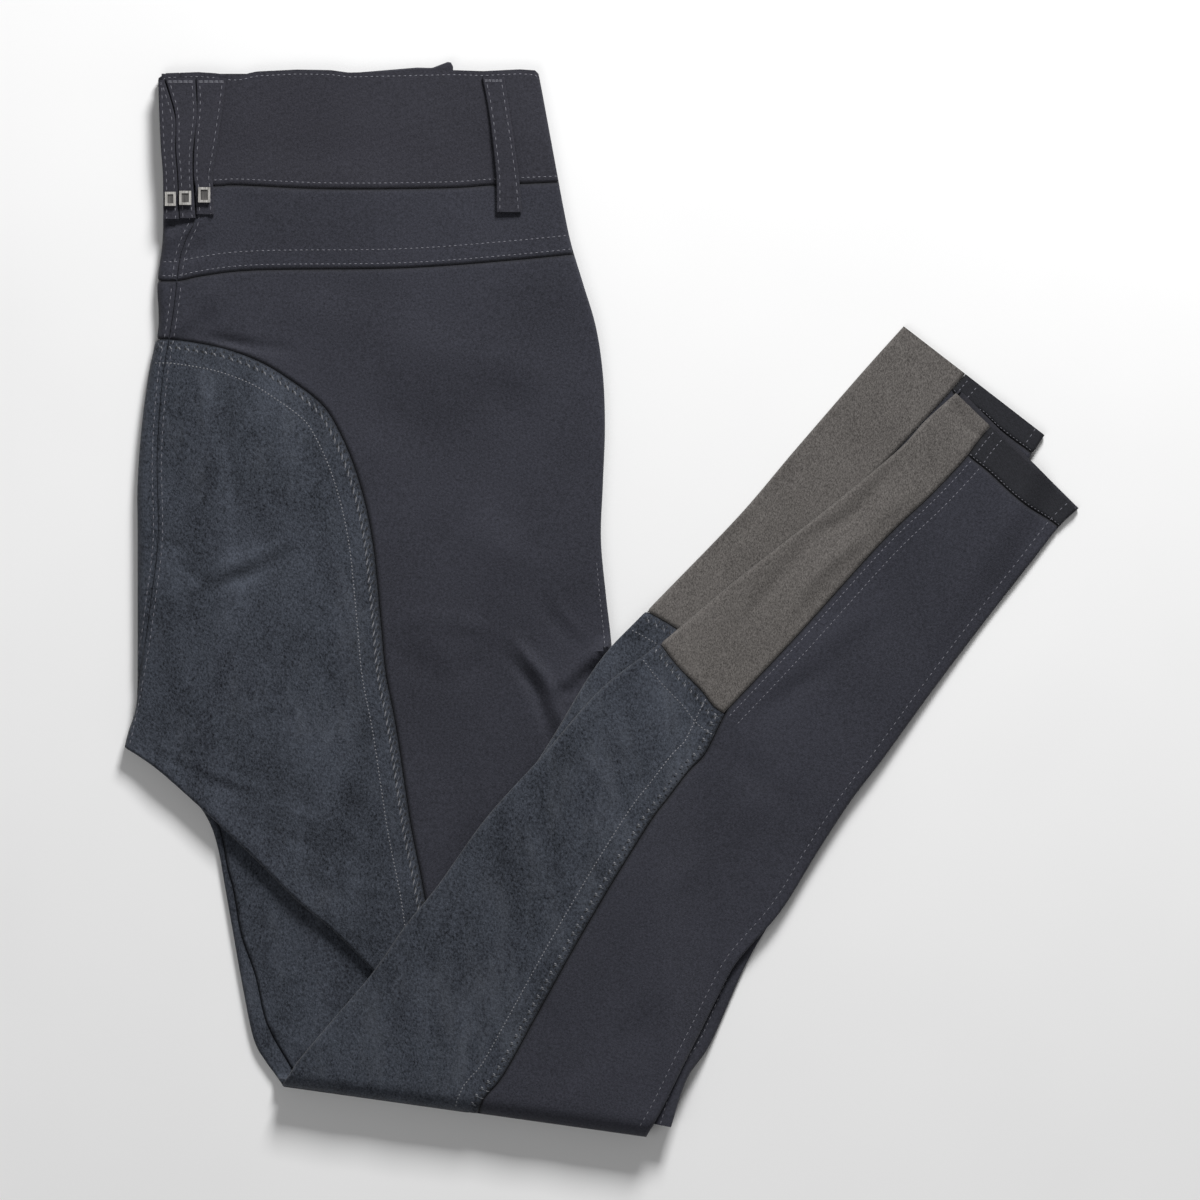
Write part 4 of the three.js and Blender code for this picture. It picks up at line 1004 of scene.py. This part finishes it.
# The front waistband's top edge behind the back one
peek_xs = np.arange(FRONT_PEEK["left"], FRONT_PEEK["right"] + PEEK_STEP / 10, PEEK_STEP)
peek_tops = np.interp(peek_xs, *zip(*FRONT_PEEK_TOP))
peek_rows = np.stack([peek_xs, np.full(peek_xs.shape, FRONT_PEEK["foot"]), peek_xs, peek_tops], axis=1)
peek = solid_between(sections_of(peek_rows, FRONT_PEEK["low"], FRONT_PEEK["high"], PEEK_ROUNDS), PEEK_TICKS)
standing_for(object_from("cloth_waistband_front", *peek, WAISTBAND),
                                       "waistband_front", "waistband")

# Belt loops: flat strips that arch a little off the waistband
for name, rows in LOOPS.items():
    rows = through(as_edges(rows), LOOP_STEP)
    share = (LOOP_TOP - rows[:, 1]) / (LOOP_TOP - LOOP_FOOT)
    arch = LOOP_BASE + LOOP_ARCH * np.sin(np.pi * smooth(share))
    outsides[name] = solid_between(sections_of(rows, arch, arch + LOOP_THICK, LOOP_ROUNDS), LOOP_TICKS)
    standing_for(object_from("cloth_" + name, *outsides[name], WAISTBAND), name, "waistband")

# Clasps: the solids' shape with softened edges and a dark sunk middle
CLASP_EDGE, SUNK_DEPTH, FACES_UP = 0.00018, 0.0002, 0.9
for name in ("clasp_1", "clasp_2", "clasp_3"):
    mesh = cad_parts[name].data.copy()
    clasp = placed("metal_" + name, mesh)
    mesh.materials.clear()
    mesh.materials.append(CLASP_METAL)
    mesh.materials.append(CLASP_CENTRE)
    highest = max(v.co.z for v in mesh.vertices)
    for polygon in mesh.polygons:
        heights = [mesh.vertices[i].co.z for i in polygon.vertices]
        sunk = polygon.normal.z > FACES_UP and max(heights) < highest - SUNK_DEPTH
        polygon.material_index = 1 if sunk else 0
    soft = clasp.modifiers.new("edges", "BEVEL")
    soft.width, soft.segments = CLASP_EDGE, 2
    soft.limit_method, soft.angle_limit = "ANGLE", math.radians(40)
    standing_for(clasp, name, "clasp_metal")

# Stitching. A row is a seam's line moved sideways, and each stitch lies on the cloth with its
# ends drawn in.
THREAD_HALF = 0.21
THREAD_HIGH = 0.2
STITCH_PITCH = 2.75
STITCH_LENGTH = 1.5
LONG_STITCH = (3.8, 2.1)
DENSE_STITCH = (1.85, 1.0)
SIDE_STITCH = (2.6, 1.5)
LOOP_ROW_INSET = 1.7
TOP_EDGE_INSET, OUT_EDGE_INSET = 2.3, 3.2
WAIST_ROWS, YOKE_ROWS, BACK_ROWS = (3.0,), (2.6, 9.6), (2.2, -2.4)
CALF_ROWS, OUT_ROWS, BAND_ROWS = (-3.0, -8.6), (5.6,), (1.0,)
BAR_DROPS, BAR_TICKS = (1.6, 2.2), 6
RAY_START = 60.0
STITCH_SHARES = (0.0, 0.3, 0.7, 1.0)
LEAST_UP, MOST_DROP = 0.35, 1.2
END_WIDTH, END_HEIGHT, SUNK_FOOT = 0.35, -0.05, 0.12

# The worked edge of the suede. near, far, slant, phase: offsets from the edge that a stitch
# runs between, and how far along the edge it leans and starts
EDGE_PITCH = 4.5
EDGE_THICK = [(0.1, 1.9, 0.5, 0.0), (3.4, 4.9, 0.9, 1.6)]
EDGE_RUNGS = [(1.9, 4.6, 0.9, 0.5)]
# EDGE_HOLES: where the painted shade of the needle holes lies, as dark flat marks
EDGE_HOLES = [(3.5, 4.6, 0.3, 0.3), (1.4, 2.5, 0.3, 2.2)]
INNER_ROW = 12.0
THICK_HALF, INNER_HIGH = 0.3, 0.24
# HOLE_HALF, HOLE_HIGH: half width and height of the painted needle-hole shade marks
HOLE_HALF, HOLE_HIGH = 0.5, 0.05


def moved_line(line, amount):
    """The line moved to its left by an amount."""
    way = unit(np.gradient(line, axis=0))
    return line + np.stack([-way[:, 1], way[:, 0]], axis=1) * amount


def points_along(line, pitch, ahead=0.0):
    """Points on a line, one for each pitch, each moved ahead but not past the end."""
    run = np.concatenate([[0], np.cumsum(np.hypot(*np.diff(line, axis=0).T))])
    at = np.minimum(np.arange(0, run[-1], pitch) + ahead, run[-1])
    return np.stack([np.interp(at, run, line[:, axis]) for axis in (0, 1)], axis=1)


def straight_row(line, offset=0.0, pitch=STITCH_PITCH, length=STITCH_LENGTH):
    line = moved_line(np.asarray(line, float), offset)
    return np.concatenate([points_along(line, pitch), points_along(line, pitch, length)], axis=1)


def rows_beside(line, offsets, *stitch):
    return [straight_row(line, offset, *stitch) for offset in offsets]


def edge_row(line, near, far, slant, phase):
    """Short stitches from one offset of the line to another."""
    line = np.asarray(line, float)
    one, two = (points_along(moved_line(line, offset), EDGE_PITCH) for offset in (near, far))
    count = min(len(one), len(two))
    one, two = one[:count], two[:count]
    way = unit(np.gradient(one, axis=0))
    return np.concatenate([one + way * phase, two + way * (phase + slant)], axis=1)


def stitches_on(surface, rows, below, half, high):
    """The stitches of rows on an outside surface. Those that miss it are left out."""
    tree = BVHTree.FromPolygons([Vector(p) for p in surface[0]], surface[1].tolist())
    up = -1.0 if below else 1.0
    kept = []
    for x0, y0, x1, y1 in np.concatenate(rows):
        line = []
        for share in STITCH_SHARES:
            x, y = x0 + (x1 - x0) * share, y0 + (y1 - y0) * share
            hit, normal, _, _ = tree.ray_cast(Vector((x, y, RAY_START * up)), Vector((0, 0, -up)))
            if hit is None or normal.z * up < LEAST_UP:
                break
            line.append(tuple(hit))
        if len(line) == len(STITCH_SHARES) and np.ptp([p[2] for p in line]) < MOST_DROP:
            kept.append(line)
    if not kept:
        return np.zeros((0, 3)), np.zeros((0, 3), int)
    centre = np.array(kept)
    way = unit(centre[:, 3, :2] - centre[:, 0, :2])
    side = np.stack([-way[:, 1], way[:, 0], np.zeros(len(way))], axis=1)[:, None]
    rise = np.array([0, 0, up])[None, None]
    width = np.array([END_WIDTH, 1, 1, END_WIDTH])[None, :, None] * half
    height = np.array([END_HEIGHT, 1, 1, END_HEIGHT])[None, :, None] * high
    ring = np.stack([centre - side * width, centre + rise * height, centre + side * width,
                     centre - rise * SUNK_FOOT], axis=2)
    faces = []
    for k in range(3):
        for j in range(4):
            a, b = 4 * k + j, 4 * k + (j + 1) % 4
            faces += [(a, b, b + 4), (a, b + 4, a + 4)]
    faces += [(0, 3, 2), (0, 2, 1), (12, 13, 14), (12, 14, 15)]
    pattern = np.array(faces)[:, ::-1] if below else np.array(faces)
    return ring.reshape(-1, 3), (pattern[None] + 16 * np.arange(len(kept))[:, None, None]).reshape(-1, 3)


def sew(name, groups, sides=(False,)):
    """All the stitches of one piece as one mesh. A group is rows, thread, half width, height."""
    points, faces, marks, materials = [], [], [], []
    for rows, material, half, high in groups:
        for below in sides:
            some, their_faces = stitches_on(outsides[name], rows, below, half, high)
            if len(some):
                if material not in materials:
                    materials.append(material)
                faces.append(their_faces + sum(len(p) for p in points))
                marks.append(np.full(len(their_faces), materials.index(material), np.int32))
                points.append(some)
    if points:
        threads = object_from("stitch_" + name, np.vstack(points), np.concatenate(faces), materials[0],
                              sharp=80)
        for material in materials[1:]:
            threads.data.materials.append(material)
        threads.data.polygons.foreach_set("material_index", np.concatenate(marks))
        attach(threads, "root")


def suede_groups(edges):
    """The rows on suede along its edges: each edge is a line and the side the suede lies on."""
    def worked(table):
        return [edge_row(line, near * side, far * side, slant, phase)
                for near, far, slant, phase in table for line, side in edges]

    inner = [straight_row(line, INNER_ROW * side, *DENSE_STITCH) for line, side in edges]
    return [(worked(EDGE_THICK), SUEDE_THREAD, THICK_HALF, THREAD_HIGH),
            (worked(EDGE_RUNGS), DULL_THREAD, THREAD_HALF, THREAD_HIGH),
            (inner, SUEDE_THREAD, THICK_HALF, INNER_HIGH),
            # The needle holes' shade, painted as dark marks almost flush with the suede
            (worked(EDGE_HOLES), HOLE_SHADE, HOLE_HALF, HOLE_HIGH)]


def plain_group(*rows):
    return (list(rows), THREAD, THREAD_HALF, THREAD_HIGH)


top_edge = np.array([(x, y - TOP_EDGE_INSET) for x, y in TOP_EDGE])
out_edge = through([(trunk_right(y) - OUT_EDGE_INSET, y) for y in (18, 6, -6, -18, -30, -42)], 4.0)
back_rows = plain_group(*rows_beside(back, BACK_ROWS, *LONG_STITCH))
TRUNK_STITCHES = {
    "waistband_back": [plain_group(straight_row(top_edge), *rows_beside(waist, WAIST_ROWS))],
    "yoke": [plain_group(*rows_beside(yoke, YOKE_ROWS)), back_rows],
    "back_panel": [plain_group(straight_row(out_edge, 0.0, 2.6, 1.4)), back_rows],
    "seat_patch": [*suede_groups([(seat, -1)]), back_rows],
}
for stem, groups in TRUNK_STITCHES.items():
    sew(stem + "_right", groups)
    sew(stem + "_left", groups, (False, True))

# Rows on the calf's side seam start right of x, rows on the suede's edge end below y
CALF_ROWS_START, SUEDE_ROWS_END = 50, -48
for side, lines, leg_rows in (("left", left_leg_lines, LEFT_SHIN_ROWS),
                              ("right", right_leg_lines, RIGHT_SHIN_ROWS)):
    suede_edge, calf_low, calf_side, band = lines
    calf_used = calf_side[calf_side[:, 0] > CALF_ROWS_START]
    suede_used = suede_edge[suede_edge[:, 1] < SUEDE_ROWS_END]
    out_line = through(np.array([row[2:4] for row in leg_rows], float), 5.0)
    plain = plain_group(*rows_beside(calf_used, CALF_ROWS, *SIDE_STITCH),
                        *rows_beside(out_line, OUT_ROWS, 3.4, 1.7), *rows_beside(band, BAND_ROWS, 2.0, 1.1))
    both = (False,) if side == "left" else (False, True)
    sew("shin_suede_" + side, suede_groups([(suede_used, 1), (calf_low, -1)]), both)
    sew("shin_panel_" + side, [plain], both)
    sew("hem_band_" + side, [plain], both)

for name, rows in LOOPS.items():
    fine = through(as_edges(rows), LOOP_STEP)
    left, y, right = fine[0, 0] + 1, fine[0, 1], fine[0, 2] - 1
    steps = np.linspace(left, right, BAR_TICKS)
    bar = [(a, y - drop, b, y - drop) for drop in BAR_DROPS for a, b in zip(steps[:-1], steps[1:])]
    long_rows = [straight_row(edge, 0.0, *LONG_STITCH)
                 for edge in (fine[:, 0:2] + (LOOP_ROW_INSET, 0), fine[:, 2:4] - (LOOP_ROW_INSET, 0))]
    sew(name, [plain_group(*long_rows, np.array(bar))])

# Floor, light and camera
FLOOR_SIZE, FLOOR_HEIGHT = 6.0, -0.0003
SKY_STRENGTH = 0.14
bpy.ops.mesh.primitive_plane_add(size=FLOOR_SIZE, location=(0, 0, FLOOR_HEIGHT))
floor = bpy.context.object
floor.name = "floor"
pale = Nodes("floor_paper")
floor_colour = pale.between(pale.noise(8, 2), (0.86, 0.86, 0.86, 1), (0.88, 0.88, 0.88, 1))
floor_grain = pale.bump(pale.noise(300, 2), 0.00002, 0.1)
floor.data.materials.append(pale.finish(floor_colour, floor_grain, roughness=0.9, specular=0.1))

world = bpy.data.worlds.new("studio")
bpy.context.scene.world = world
world.use_nodes = True
world.node_tree.nodes["Background"].inputs["Color"].default_value = (1, 1, 1, 1)
world.node_tree.nodes["Background"].inputs["Strength"].default_value = SKY_STRENGTH


def area_light(name, place, size, power):
    light = bpy.data.lights.new(name, "AREA")
    light.shape, light.size, light.energy = "SQUARE", size, power
    lamp = placed(name, light)
    lamp.location = place
    lamp.rotation_euler = (-Vector(place)).to_track_quat("-Z", "Y").to_euler()


area_light("key", (0.5, 1.85, 1.2), size=0.6, power=68)
area_light("fill", (-0.8, -0.9, 2.2), size=1.6, power=12)

SENSOR = 36
CAMERA_HEIGHT = 6.0
FRAME_WIDTH = 0.6
SUBJECT_HEIGHT = 0.009
PHOTO_MIDDLE = (-0.0005, -0.0005)
camera_data = bpy.data.cameras.new("camera")
camera_data.type = "PERSP"
camera_data.sensor_width = SENSOR
camera_data.lens = SENSOR * (CAMERA_HEIGHT - SUBJECT_HEIGHT) / FRAME_WIDTH
camera_data.clip_start, camera_data.clip_end = 0.1, 50
camera = placed("camera", camera_data)
camera.location = (*PHOTO_MIDDLE, CAMERA_HEIGHT)
bpy.context.scene.camera = camera
bpy.context.scene.view_settings.view_transform = "Standard"
